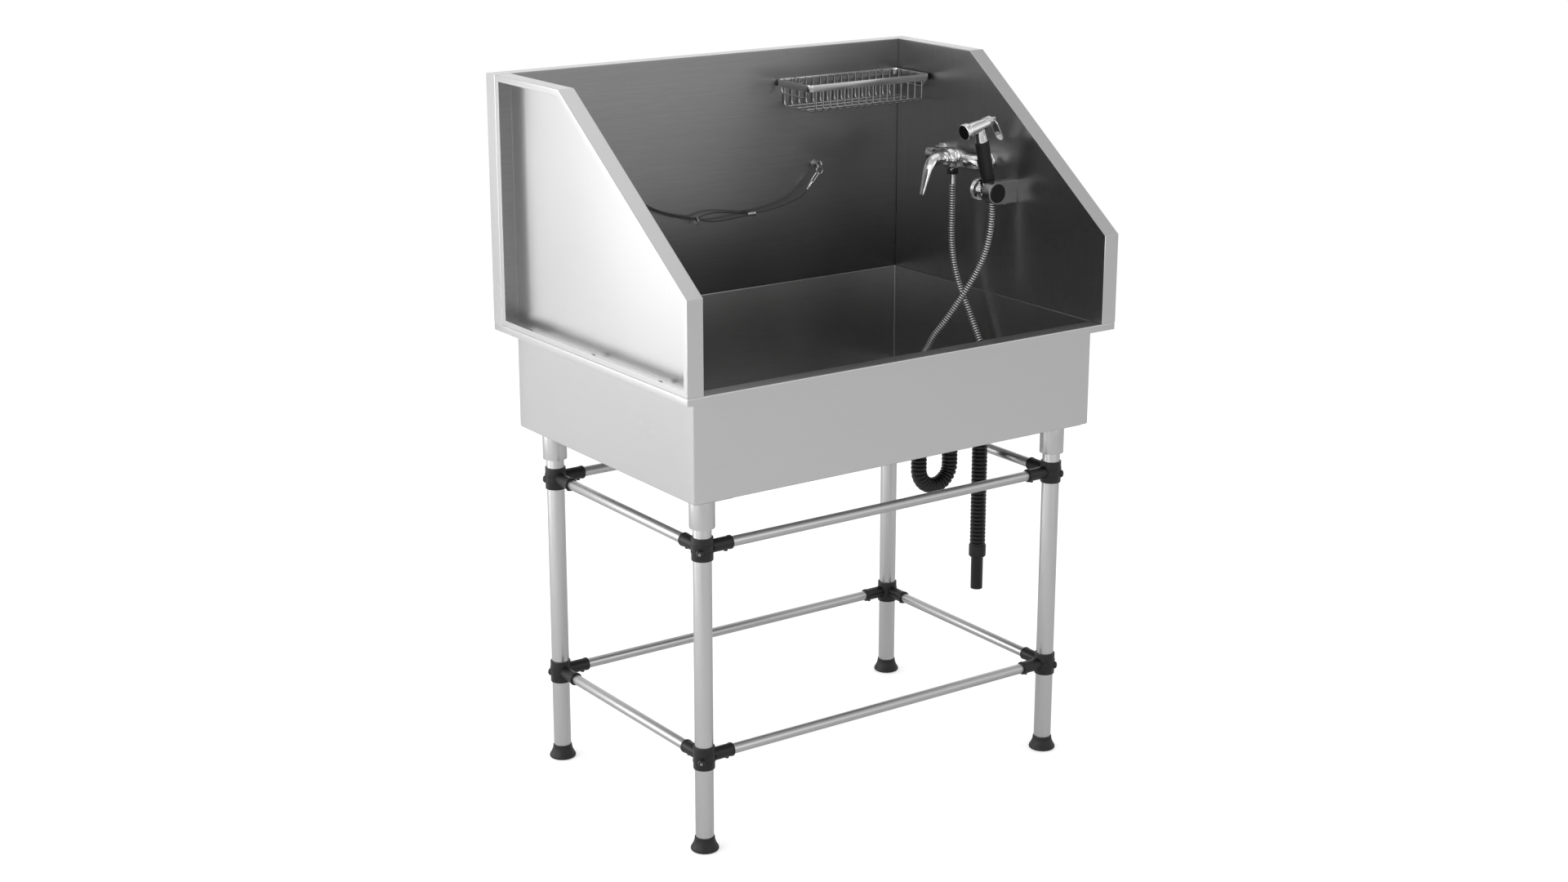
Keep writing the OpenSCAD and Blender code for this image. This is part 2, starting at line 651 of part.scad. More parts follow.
module hose_cone_nut() color(bright) on_sprayer() difference() {
    union() {
        translate([0, 0, -cone_len]) cylinder(h = cone_len - 3, r1 = cone_bottom_r, r2 = cone_top_r);
        translate([0, 0, -3]) cylinder(h = 3, r = cone_top_r);
    }
    translate([0, 0, -cone_len - 1]) cylinder(h = cone_len + 2, r = 5);
}

module sprayer_body() color(bright) on_sprayer() difference() {
    union() {
        cylinder(h = grip_len, r = 9);
        translate([0, 0, grip_len]) cylinder(h = neck_len, r1 = 12.6, r2 = 11);
        translate([-head_front + 15, 0, head_axis]) facing_x(1)
            cylinder(h = head_front - 15 + head_back - 6, r1 = 13, r2 = 10.8);
        translate([head_back - 6, 0, head_axis]) facing_x(1) cylinder(h = 6, r1 = 10.8, r2 = 8);
        // two ears carry the trigger's pin
        for (s = [-1, 1]) translate([0, s * 7.8 - 1.5, 0]) {
            translate([trigger_x, 3, trigger_z]) facing_y(-1) cylinder(h = 3, r = 4.2);
            translate([head_back - 12, 0, trigger_z - 4.2]) cube([trigger_x - head_back + 12, 3, 8.4]);
        }
    }
    translate([0, 0, -1]) cylinder(h = head_axis, r = 5);
    translate([-head_front + 8, 0, head_axis]) facing_x(1) cylinder(h = head_front, r = 7);
    translate([trigger_x, -20, trigger_z]) facing_y(1) cylinder(h = 40, r = pin_r + fit);
}

// Chrome cap round the spray face
module sprayer_cap() color(bright) on_sprayer() translate([-head_front, 0, head_axis]) facing_x(1) difference() {
    union() {
        cylinder(h = 2, r1 = 15.2, r2 = 16.5);
        translate([0, 0, 2]) cylinder(h = 8, r = 16.5);
        translate([0, 0, 10]) cylinder(h = 5, r1 = 16.5, r2 = 13);
    }
    translate([0, 0, -1]) cylinder(h = 4, r = 14.2);
    translate([0, 0, 2]) cylinder(h = 14, r = 7);
}

module sprayer_face() color(dark) on_sprayer() translate([-head_front - 0.6, 0, head_axis]) facing_x(1) difference() {
    cylinder(h = 3.6, r = 14.2 - fit);
    for (ring = [[6, 4], [12, 8], [18, 12]]) for (k = [1 : ring[0]])
        rotate([0, 0, 360 * k / ring[0]]) translate([ring[1], 0, -1]) cylinder(h = 6, r = 0.7);
}

module sprayer_grip() color(rubber) on_sprayer() difference() {
    cylinder(h = grip_len, r1 = grip_r1, r2 = grip_r2);
    translate([0, 0, -1]) cylinder(h = grip_len + 2, r = 9 + fit);
}

// Flat trigger behind the head; it hangs from its pin and leans out from the grip
module sprayer_trigger() color(bright) on_sprayer() translate([trigger_x, 0, trigger_z])
    rotate([0, -trigger_tilt, 0]) difference() {
        union() {
            translate([0, 6, 0]) facing_y(-1) cylinder(h = 12, r = 3.8);
            translate([0, -6, -9]) cube([3.8, 12, 9]);
            translate([1.2, -10.5, -52]) cube([2.6, 21, 46]);
        }
        translate([0, -20, 0]) facing_y(1) cylinder(h = 40, r = pin_r + fit);
    }

module trigger_pin() color(bright) on_sprayer() translate([trigger_x, -9.3, trigger_z])
    facing_y(1) cylinder(h = 18.6, r = pin_r);

// Holder: a block with a round end on the wall, a cradle and a ringed knob on its far side
holder_x = wall_x - holder_out;
cradle_side = cradle_r + gap;
block_face = sprayer_y - cradle_side - holder_t;
holder_bolt_y = block_face + holder_t / 2;

module holder_block() color(bright) difference() {
    translate([0, block_face, 0]) union() {
        translate([holder_x, 0, holder_z]) facing_y(1) cylinder(h = holder_t, r = holder_r);
        translate([holder_x, 0, holder_z - holder_r]) cube([holder_out, holder_t, 2 * holder_r]);
    }
    translate([holder_x, block_face - 1, holder_z]) facing_y(1) cylinder(h = 2.5, r = holder_r - 3.5);
    translate([wall_x - 20, holder_bolt_y, holder_z]) facing_x(1) cylinder(h = 21, r = screw_d / 2);
    translate([holder_x + 28, holder_bolt_y, holder_z - holder_r - 1]) cylinder(h = 12, r = 3);
}

module holder_disc() color(dark) translate([holder_x, block_face + 1.5, holder_z])
    facing_y(-1) cylinder(h = 2, r = holder_r - 3.5 - fit);

module holder_cradle() color(bright) difference() {
    union() {
        on_sprayer() translate([0, 0, -cone_len + 6]) cylinder(h = 22, r = cradle_r);
        translate([holder_x, sprayer_y - cradle_side, holder_z]) facing_y(1) cylinder(h = 2 * cradle_side, r = 8);
    }
    on_sprayer() {
        translate([0, 0, -cone_len]) cylinder(h = cone_len - 3, r1 = cone_bottom_r + 0.4, r2 = cone_top_r + 0.4);
        translate([0, 0, -cone_len - 20]) cylinder(h = 20.1, r = cone_bottom_r + 0.4);
        // slot that lets the hose in from the front
        translate([-cradle_r - 10, -hose_d / 2 - 0.8, -cone_len - 20]) cube([cradle_r + 10, hose_d + 1.6, 60]);
    }
}

module holder_knob() color(bright) translate([holder_x, sprayer_y + cradle_side, holder_z])
    facing_y(1) rotate_extrude() polygon([
        [0, 0], [holder_r - 2, 0], [holder_r - 1, 1], [holder_r - 1, 4], [holder_r - 2, 4.6], [holder_r - 2, 5.4],
        [holder_r - 1, 6], [holder_r - 1, 9], [holder_r - 2.6, 10.4], [holder_r - 5, 10.4], [holder_r - 6, 11.4],
        [holder_r - 8, 13.5], [0, 13.5]
    ]);

module hose_mixer_nut() color(bright) translate([mixer_x, mixer_y, outlet_z]) difference() {
    union() {
        translate([0, 0, -4]) cylinder(h = 12, r = 22 / sqrt(3), $fn = 6);
        translate([0, 0, nut_end]) cylinder(h = -nut_end, r = 7);
    }
    cylinder(h = 20, r = 10 + fit);
    translate([0, 0, nut_end - 1]) cylinder(h = 40, r = 5);
}
nut_end = -26;

// The hose's route: down from the mixer, one long loop on the basin floor, and up to the sprayer
HOSE_ROUTE = [
    [429.5, 80, 1128], [430, 80, 1100], [430, 80, 1065], [430, 80, 1030], [430, 77, 995], [431, 68, 955],
    [433, 52, 915], [436, 32, 880], [438, 12, 846], [440, -8, 812], [439, -31, 780], [434, -58, 750],
    [425, -90, 726], [412, -124, 712], [390, -158, 711], [358, -180, 711], [322, -182, 711], [290, -164, 711],
    [272, -130, 711], [266, -92, 711], [262, -54, 711], [252, -16, 711], [238, 20, 711], [228, 58, 711],
    [232, 98, 711], [252, 132, 711], [286, 150, 713], [320, 144, 722], [344, 118, 738], [353, 86, 762],
    [354, 60, 792], [356, 38, 826], [367, 16, 860], [381, -2, 896], [396, -18, 932], [410, -31, 968],
    [421, -40, 1004], [428, -45, 1042], [431.6, -46, 1080], [431.4, -46, 1106], [429, -46, 1118]
];
module shower_hose() color(bright) cord(HOSE_ROUTE, hose_d, [0, 1, 0], 10);

// ---------- basket ----------

module rounded_slab(x0, y0, x1, y1, r, h) {
    linear_extrude(h) union() {
        translate([x0 + r, y0]) square([x1 - x0 - 2 * r, y1 - y0]);
        translate([x0, y0 + r]) square([x1 - x0, y1 - y0 - 2 * r]);
        for (x = [x0 + r, x1 - r]) for (y = [y0 + r, y1 - r]) translate([x, y]) circle(r = r);
    }
}

// Flat band with round corners, its back lying on the wall
module basket_band() color(bright) difference() {
    translate([0, 0, basket_top - band_h])
        rounded_slab(basket_left, wall_y - basket_d, basket_right, wall_y, band_r, band_h);
    translate([0, 0, basket_top - band_h - 1])
        rounded_slab(basket_left + band_t, wall_y - basket_d + band_t, basket_right - band_t, wall_y - band_t,
            band_r - band_t, band_h + 2);
    for (k = [0, 1]) translate([WALL_SCREWS[k][0], wall_y - 5, WALL_SCREWS[k][1]])
        facing_y(1) cylinder(h = 6, r = screw_d / 2 + fit);
}

// U-shaped wire in the YZ plane: two uprights inside the band, round corners and a straight bottom
module u_wire(x, y0, y1, top, bottom, bend) translate([x, 0, 0]) {
    bar([0, y0, bottom + bend], [0, y0, top], wire_d / 2);
    bar([0, y1, bottom + bend], [0, y1, top], wire_d / 2);
    bar([0, y0 + bend, bottom], [0, y1 - bend, bottom], wire_d / 2);
    for (s = [-1, 1]) translate([0, (y0 + y1) / 2 + s * ((y1 - y0) / 2 - bend), bottom + bend])
        rotate([0, 90, 0]) rotate([0, 0, s > 0 ? 0 : -90]) wire_ring(bend, wire_d / 2, 90);
}

wire_in = band_t + wire_d / 2 + fit;       // wire axis, from the band's outer face
wire_y0 = wall_y - basket_d + wire_in;
wire_y1 = wall_y - wire_in;
wire_bottom = basket_top - basket_drop + wire_d / 2;
wire_first = basket_left + band_r + 7;
wire_step = (basket_w - 2 * band_r - 14) / (wire_n - 1);

module basket_wires() color(bright) {
    for (k = [0 : wire_n - 1])
        u_wire(wire_first + k * wire_step, wire_y0, wire_y1, basket_top - 1, wire_bottom, 12);
    // runners lie on the wires' bottoms, and one wire closes each end
    for (t = [0.2, 0.5, 0.8])
        bar([wire_first - 8, wire_y0 + t * (wire_y1 - wire_y0), wire_bottom + wire_d + fit],
            [wire_first + (wire_n - 1) * wire_step + 8, wire_y0 + t * (wire_y1 - wire_y0), wire_bottom + wire_d + fit],
            wire_d / 2);
    for (x = [basket_left + wire_in, basket_right - wire_in])
        u_wire(x, wire_y0 + band_r, wire_y1 - band_r, basket_top - 1, basket_top - 28, 12);
}

// Screws with washers' heads in the tub and nuts behind the panel; the holder's bolt is turned to the right
module wall_screw(head_h, grip_t) {
    translate([0, 0, -head_h]) cylinder(h = head_h, r1 = screw_d * 0.7, r2 = screw_d * 0.9);
    cylinder(h = grip_t + 5, r = screw_d / 2);
    translate([0, 0, grip_t]) cylinder(h = 4, r = 8 / sqrt(3), $fn = 6);
}
module wall_screws() color(bright) {
    for (k = [0, 1]) translate([WALL_SCREWS[k][0], wall_y - band_t, WALL_SCREWS[k][1]])
        facing_y(1) wall_screw(2.4, band_t + sheet);
    translate([wall_x + sheet, holder_bolt_y, holder_z]) facing_x(1) {
        translate([0, 0, -sheet - 18]) cylinder(h = sheet + 18, r = screw_d / 2 - fit);
        cylinder(h = 4, r = 8 / sqrt(3), $fn = 6);
    }
    translate([holder_x + 28, holder_bolt_y, holder_z - holder_r - 3]) difference() {
        cylinder(h = 10, r = 3 - fit);
        translate([0, 0, -1]) cylinder(h = 3, r = 1.5, $fn = 6);
    }
}

// ---------- tether ----------

eye_shank = 12;
eye_r = 7;
eye_wire = 1.8;
link_r = 8;
link_wire = 1.2;
eye_y = wall_y - eye_shank - eye_r - 1;
link_z = eye_h - eye_r + eye_wire + link_wire + 0.1 - link_r;
post_r = 4;

// Eye bolt on the right and headed post on the left, each with its nut behind the panel
module tether_fixings() color(bright) {
    translate([eye_x, wall_y, eye_h]) {
        facing_y(-1) cylinder(h = 2, r = 8);
        facing_y(-1) cylinder(h = eye_shank, r = 2.5);
        facing_y(1) wall_screw(0.5, sheet);
    }
    translate([eye_x, eye_y, eye_h]) rotate([0, 90, 0]) wire_ring(eye_r, eye_wire);
    translate([-eye_x, wall_y, eye_h]) {
        facing_y(-1) cylinder(h = 2, r = 8);
        facing_y(-1) cylinder(h = 24, r = post_r);
        translate([0, -24, 0]) facing_y(-1) cylinder(h = 3, r1 = 7, r2 = 5.5);
        facing_y(1) wall_screw(0.5, sheet);
    }
}

module tether_ring() color(bright) translate([eye_x, eye_y, link_z]) rotate([90, 0, 0]) wire_ring(link_r, link_wire);

// Frame of the snap hook: +Z up the hook towards the ring, with the hook's loop in its YZ plane
hook_lean = 40;
hook_len = 32.7;
hook_wire = 1.4;
hook_half = 4.6;
hook_top = hook_len + link_wire + hook_wire + 0.1;
hook_pull = link_r + hook_len;
hook_start = [eye_x - hook_pull * sin(hook_lean), eye_y + 1, link_z - hook_pull * cos(hook_lean)];
module on_hook() translate(hook_start) rotate([0, hook_lean, 0]) children();

module snap_hook() color(bright) on_hook() {
    cylinder(h = 9, r = 3.2);
    translate([0, 0, 9]) cylinder(h = 3, r1 = 3.2, r2 = 2.2);
    translate([0, -hook_half, 12]) sphere(r = hook_wire + 0.5);
    bar([0, -hook_half, 12], [0, hook_half, 12], hook_wire + 0.5);
    bar([0, hook_half, 12], [0, hook_half, hook_top - hook_half], hook_wire);
    translate([0, 0, hook_top - hook_half]) rotate([90, 0, 90]) wire_ring(hook_half, hook_wire, 180);
}
module snap_gate() color(silver) on_hook()
    bar([0, -hook_half, 12 + 1.9 + gap], [0, -hook_half, hook_top - hook_half - 2 * gap], hook_wire - 0.1);

// The cable: one strand to the ferrule, then a loop through the slider to the post and back
TETHER_ROUTE = [
    [216.3, 295, 1107.6], [213.4, 295.1, 1104.2], [208.5, 295.4, 1100.6], [200, 295.6, 1097], [188, 296, 1093.6],
    [168, 297, 1088], [148, 297, 1083],
    [118, 297, 1076], [98, 297, 1072.5], [78, 297, 1071.5], [60, 297, 1073], [36, 297, 1077], [10, 297, 1081],
    [-14, 297, 1083], [-36, 297, 1081.5], [-50, 297, 1078], [-58, 297, 1076.5], [-74, 297, 1079.5],
    [-102, 297, 1086.5], [-130, 297, 1095], [-152, 297, 1103.5], [-174, 297, 1114.5], [-198, 297, 1129],
    [-222, 297, 1145], [-241, 297, 1158.6], [-244.6, 297, 1160.8], [-248.8, 297, 1161.1], [-251.6, 297, 1158.6],
    [-252.3, 297, 1154.8], [-249.8, 297, 1151.4], [-246, 297, 1149.2], [-222, 297, 1136], [-198, 297, 1122.4],
    [-174, 297, 1110.5], [-130, 297, 1091.4], [-102, 297, 1082.9], [-74, 297, 1075.8], [-58, 297, 1073],
    [-50, 297, 1072], [-32, 297, 1067.5], [-10, 297, 1064.8], [20, 297, 1065.3], [50, 297, 1067.5], [70, 297, 1068.5]
];
module tether_cable() color(dark) cord(TETHER_ROUTE, cable_d, [0, 1, 0], 8);

ferrule_mid = [78, 297, 1070.1];
module tether_ferrules() color(bright) {
    // crimped sleeve on the loop
    difference() {
        translate(ferrule_mid + [-10, 0, 0]) facing_x(1) union() {
            for (z = [-1.6, 1.6]) translate([z, 0, 0]) cylinder(h = 20, r = 2.7);
            translate([-1.6, -2.7, 0]) cube([3.2, 5.4, 20]);
        }
        translate([0, 0, 0]) cord([for (k = [7 : 11]) TETHER_ROUTE[k]], cable_d + 0.2, [0, 1, 0], 8);
        translate([-20, 0, 0]) cord([[69, 297, 1067.5], [90, 297, 1068.5]], cable_d + 0.2, [0, 1, 0], 8);
    }
    // end sleeve at the hook
    on_hook() translate([0, 0, -8]) tube(8, 2.2, cable_d / 2 + fit);
}

module slider_ring() color(bright) translate([-58, 297, 1070.8]) rotate([0, 78, 0]) wire_ring(8.5, 1.1);

// ---------- what is drawn ----------

basin();
left_splash_panel();
right_splash_panel();
back_splash_panel();
panel_bolts();
for (c = CORNERS) leg(c);
leg_sleeves();
set_screws();
feet();
for (c = CORNERS) clamp(c, upper_rail_h);
for (c = CORNERS) clamp(c, lower_rail_h);  // lower_clamps
long_rails(upper_rail_h);  // upper_long_rails
short_rails(upper_rail_h);  // upper_short_rails
long_rails(lower_rail_h);  // lower_long_rails
short_rails(lower_rail_h);  // lower_short_rails
drain_flange();
drain_strainer();
drain_gasket();
drain_locknut();
drain_tail_nut();
drain_hose();
drain_adaptor();
mixer_body();
wall_connectors();
union_nuts();
connector_backnuts();
mixer_collar();
mixer_cartridge();
cartridge_carrier();
mixer_stem();
mixer_lever();
shower_hose();
hose_mixer_nut();
hose_cone_nut();
holder_block();
holder_disc();
holder_cradle();
holder_knob();
sprayer_body();
sprayer_cap();
sprayer_face();
sprayer_grip();
sprayer_trigger();
trigger_pin();
basket_band();
basket_wires();
wall_screws();
tether_fixings();
tether_ring();
snap_hook();
snap_gate();
tether_cable();
tether_ferrules();
slider_ring();
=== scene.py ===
# %% [markdown]
# # A stainless pet bathtub
#
# This lesson dresses a ready-made frame: a folded sheet-metal tub with three splash panels, on a stand of
# clamped tubes, with a mixer, a hand sprayer, a wire basket and a tether line. The frame comes from a packed
# model, in metres, with +Z up, the open front towards -Y and the floor at z = 0.

import math

import bmesh
import bpy
import numpy as np
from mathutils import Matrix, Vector


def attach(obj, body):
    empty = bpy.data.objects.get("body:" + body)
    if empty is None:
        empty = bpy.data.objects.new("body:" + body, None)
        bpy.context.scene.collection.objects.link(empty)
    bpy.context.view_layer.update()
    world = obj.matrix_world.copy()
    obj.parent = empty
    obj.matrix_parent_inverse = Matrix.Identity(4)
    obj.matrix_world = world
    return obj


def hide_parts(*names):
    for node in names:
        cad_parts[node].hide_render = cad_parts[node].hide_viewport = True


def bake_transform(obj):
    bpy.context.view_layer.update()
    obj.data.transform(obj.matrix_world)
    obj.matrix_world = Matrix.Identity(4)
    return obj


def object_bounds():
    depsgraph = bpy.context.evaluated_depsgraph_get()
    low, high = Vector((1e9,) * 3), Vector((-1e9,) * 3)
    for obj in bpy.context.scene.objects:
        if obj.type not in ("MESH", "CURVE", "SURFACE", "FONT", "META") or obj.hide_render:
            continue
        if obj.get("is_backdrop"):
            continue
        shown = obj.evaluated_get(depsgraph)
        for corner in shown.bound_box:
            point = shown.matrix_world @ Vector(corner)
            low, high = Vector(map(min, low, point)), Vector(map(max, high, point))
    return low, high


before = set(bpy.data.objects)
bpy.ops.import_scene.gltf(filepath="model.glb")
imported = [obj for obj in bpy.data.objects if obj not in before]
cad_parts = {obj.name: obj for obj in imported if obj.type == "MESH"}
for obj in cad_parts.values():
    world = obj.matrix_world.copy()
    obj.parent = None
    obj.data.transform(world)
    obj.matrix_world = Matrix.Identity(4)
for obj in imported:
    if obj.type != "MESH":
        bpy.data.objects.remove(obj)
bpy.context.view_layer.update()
MM = 0.001

# %% [markdown]
# ## The camera
#
# Furniture is best seen from far away with a long lens, so that upright edges stay nearly parallel. The
# camera stands 5 m away and 2 m high, and looks at the tub's left front corner. Its shift and depth of field
# stay off, because other views move it.

# %% Camera
camera_data = bpy.data.cameras.new("camera")
camera_data.sensor_width = 36
camera_data.lens = 56.436
camera = bpy.data.objects.new("camera", camera_data)
camera.location = (-2.73345, -3.81397, 2.04916)
camera.rotation_euler = [math.radians(a) for a in (73.6012, -0.0534, -35.1174)]
bpy.context.scene.collection.objects.link(camera)
bpy.context.scene.camera = camera
print("camera at", tuple(camera.location))

# %% [markdown]
# ## Surfaces from formulas
#
# Most pieces below are a function of two parameters, worked out on a whole grid of points at once. A grid
# becomes a mesh when each cell is closed with one quad. If the grid's second parameter runs round a section,
# its last column joins the first, and the two ends can be closed with a cap.

# %% Grid to mesh
def build_mesh(name, points, faces, crease=35):
    """Makes an object at the origin from points and faces, turns its faces outwards, and keeps the edges
    sharp where two faces meet at more than the crease angle."""
    mesh = bpy.data.meshes.new(name)
    mesh.from_pydata(np.asarray(points, float).tolist(), [], faces)
    work = bmesh.new()
    work.from_mesh(mesh)
    bmesh.ops.recalc_face_normals(work, faces=work.faces)
    work.to_mesh(mesh)
    work.free()
    mesh.polygons.foreach_set("use_smooth", np.full(len(mesh.polygons), True))
    mesh.set_sharp_from_angle(angle=math.radians(crease))
    mesh.update()
    obj = bpy.data.objects.new(name, mesh)
    bpy.context.scene.collection.objects.link(obj)
    return obj


def grid_faces(rows, columns, closed_rows, first):
    """Quads between neighbours of a grid: row i and i + 1, column j and j + 1, counted round the section,
    and round the rows too if they are closed."""
    ids = first + np.arange(rows * columns).reshape(rows, columns)
    if closed_rows:
        ids = np.vstack([ids, ids[:1]])
    ids = np.hstack([ids, ids[:, :1]])
    corners = ids[:-1, :-1], ids[:-1, 1:], ids[1:, 1:], ids[1:, :-1]
    return np.stack(corners, -1).reshape(-1, 4).tolist()


def surface(name, *shells, crease=35):
    """One object from closed shells. A shell is a grid of shape (rows, columns, 3) whose first and last
    rows get a face each, or a pair (grid, True) whose last row joins its first."""
    points, faces, first = [], [], 0
    for shell in shells:
        grid, closed = shell if isinstance(shell, tuple) else (shell, False)
        rows, columns = grid.shape[:2]
        faces += grid_faces(rows, columns, closed, first)
        if not closed:
            ids = first + np.arange(columns)
            faces += [ids[::-1].tolist(), (ids + (rows - 1) * columns).tolist()]
        points.append(grid.reshape(-1, 3))
        first += rows * columns
    return build_mesh(name, np.vstack(points), faces, crease)


# %% [markdown]
# A cord, pipe or lever is a section carried along a route. The route's points are joined by a smooth curve,
# and each section is turned with the route by the smallest turn from the one before, so that it never twists.

# %% Routes
def smooth_route(points, step):
    """Cubic through the points: each stretch runs from its start to its end with the slopes of its
    neighbours' chords, and is then cut into equal steps of arc length. Columns after the third, such as
    widths, are carried along in the same way."""
    p = np.asarray(points, float)
    ends = np.vstack([2 * p[0] - p[1], p, 2 * p[-1] - p[-2]])
    t = np.linspace(0, 1, 24, endpoint=False)[None, :, None]
    a, b, c, d = (ends[k : len(p) - 1 + k][:, None, :] for k in range(4))
    curve = 0.5 * (2 * b + (c - a) * t + (2 * a - 5 * b + 4 * c - d) * t**2 + (3 * b - a - 3 * c + d) * t**3)
    curve = np.vstack([curve.reshape(-1, p.shape[1]), p[-1:]])
    along = np.concatenate([[0], np.cumsum(np.linalg.norm(np.diff(curve[:, :3], axis=0), axis=1))])
    count = max(2, round(along[-1] / step))
    at = np.linspace(0, along[-1], count + 1)
    return np.stack([np.interp(at, along, curve[:, k]) for k in range(curve.shape[1])], -1), at


def carried_frames(route, reference):
    """Two directions across a route at each of its points. The first one starts as the
    reference made square to the route, and is carried on by taking out its part along each new tangent."""
    tangent = np.gradient(route, axis=0)
    tangent /= np.linalg.norm(tangent, axis=1)[:, None]
    across = np.zeros_like(route)
    last = np.asarray(reference, float)
    for i, t in enumerate(tangent):
        last = last - t * (last @ t)
        last /= np.linalg.norm(last)
        across[i] = last
    return across, np.cross(tangent, across)


def tube_grid(route, radius, sides, reference=(0, 1, 0), flat=None):
    """Points at angle v round each point of a route: centre + r (n cos v + f b sin v), where n and b are
    the carried directions, r is the radius there, and f flattens the section."""
    n, b = carried_frames(route, reference)
    v = np.linspace(0, 2 * math.pi, sides, endpoint=False)
    r = np.broadcast_to(np.asarray(radius, float), (len(route),))[:, None, None]
    f = 1.0 if flat is None else np.asarray(flat, float)[:, None, None]
    return route[:, None] + r * (
        n[:, None] * np.cos(v)[None, :, None] + f * b[:, None] * np.sin(v)[None, :, None]
    )


def lathe(profile, base=(0, 0, 0), axis=(0, 0, 1), sides=48):
    """(radius, height) pairs in millimetres, turned round an axis from a base point: base + h axis +
    r (a cos v + b sin v), where a and b are square to the axis and to each other."""
    c = np.asarray(axis, float) / np.linalg.norm(axis)
    a = np.cross((0, 0, 1) if abs(c[2]) < 0.9 else (1, 0, 0), c)
    a /= np.linalg.norm(a)
    b = np.cross(c, a)
    r, h = (np.asarray(profile, float).T)[:, :, None, None]
    v = np.linspace(0, 2 * math.pi, sides, endpoint=False)[None, :, None]
    return (np.asarray(base, float) + h * c + r * (a * np.cos(v) + b * np.sin(v))) * MM


def rounded(points, reach, closed=False, steps=4):
    """Rounds the corners of a polyline: each becomes a short parabola that leaves its two sides at most
    the given reach from the corner. Reach is one number, or one for each corner."""
    p = np.asarray(points, float)
    a, b, c = (np.roll(p, 1, 0), p, np.roll(p, -1, 0)) if closed else (p[:-2], p[1:-1], p[2:])
    reach = np.broadcast_to(np.asarray(reach, float), (len(b),))[:, None]

    def towards(q):
        side = q - b
        length = np.linalg.norm(side, axis=1)[:, None]
        return b + side / length * np.minimum(reach, 0.5 * length)

    t = np.linspace(0, 1, steps + 1)[None, :, None]
    arcs = towards(a)[:, None] * (1 - t) ** 2 + 2 * b[:, None] * t * (1 - t) + towards(c)[:, None] * t**2
    arcs = arcs.reshape(-1, p.shape[1])
    return arcs if closed else np.vstack([p[:1], arcs, p[-1:]])


def turned(points, reach, base=(0, 0, 0), axis=(0, 0, 1), sides=48, closed=False, steps=4):
    """A shell turned from a profile whose corners are rounded first. A closed profile makes a ring."""
    grid = lathe(rounded(points, reach, closed, steps), base, axis, sides)
    return (grid, True) if closed else grid


def hoop(centre, axis, ring, wire, sides=48, section=14):
    """A ring of round wire: (ring + wire cos w) round the axis and wire sin w along it."""
    w = np.linspace(0, 2 * math.pi, section, endpoint=False)
    return lathe(np.stack([ring + wire * np.cos(w), wire * np.sin(w)], -1), centre, axis, sides), True


print("helpers ready")

# %% [markdown]
# ## Finishes
#
# Nearly everything here is stainless steel, and what tells one steel from another is its grain. Sheet is
# brushed along one direction, tube is satin, and the fittings are polished. Brushing is a noise that is very
# long one way and very fine the other, so one node group makes it for all of them: the stretch says how many
# marks there are per metre along X, Y and Z.

# %% Node helpers
def add_node(tree, kind, **values):
    """A node of that kind with its plain settings and its unlinked inputs set by name."""
    node = tree.nodes.new(kind)
    for key, value in values.items():
        if key in node.inputs:
            node.inputs[key].default_value = value
        else:
            setattr(node, key, value)
    return node


def new_group(name, inputs, outputs):
    """A shader node group with the named sockets, and its own input and output nodes."""
    group = bpy.data.node_groups.new(name, "ShaderNodeTree")
    for socket, kind, default in inputs:
        group.interface.new_socket(socket, in_out="INPUT", socket_type=kind).default_value = default
    for socket, kind in outputs:
        group.interface.new_socket(socket, in_out="OUTPUT", socket_type=kind)
    return group, group.nodes.new("NodeGroupInput"), group.nodes.new("NodeGroupOutput")


def link(tree, *pairs):
    for a, b in pairs:
        tree.links.new(a, b)


def feed(tree, socket, value):
    """Links an input to another node's output, or sets it to a plain value."""
    if isinstance(value, bpy.types.NodeSocket):
        tree.links.new(value, socket)
    else:
        socket.default_value = value


def reckon(tree, kind, *values):
    """The result of a math node, worked out from outputs or numbers."""
    node = add_node(tree, "ShaderNodeMath", operation=kind)
    for socket, value in zip(node.inputs, values):
        feed(tree, socket, value)
    return node.outputs[0]


def carried_to(tree, value, old, new):
    """A value carried from an old range to a new one, and held inside the new one."""
    node = add_node(tree, "ShaderNodeMapRange")
    for name, end in zip(("Value", "From Min", "From Max", "To Min", "To Max"), (value, *old, *new)):
        feed(tree, node.inputs[name], end)
    return node.outputs["Result"]


def mixed(tree, factor, first, second, kind="RGBA"):
    """Two colours, or two values, mixed by a factor. A mix node keeps one set of sockets for each kind."""
    node = add_node(tree, "ShaderNodeMix", data_type=kind)
    place, result = (6, 2) if kind == "RGBA" else (2, 0)
    for index, value in zip((0, place, place + 1), (factor, first, second)):
        feed(tree, node.inputs[index], (*value, 1) if isinstance(value, tuple) else value)
    return node.outputs[result]


# %% Brushed grain and handling marks
FLOAT, VECTOR = "NodeSocketFloat", "NodeSocketVector"

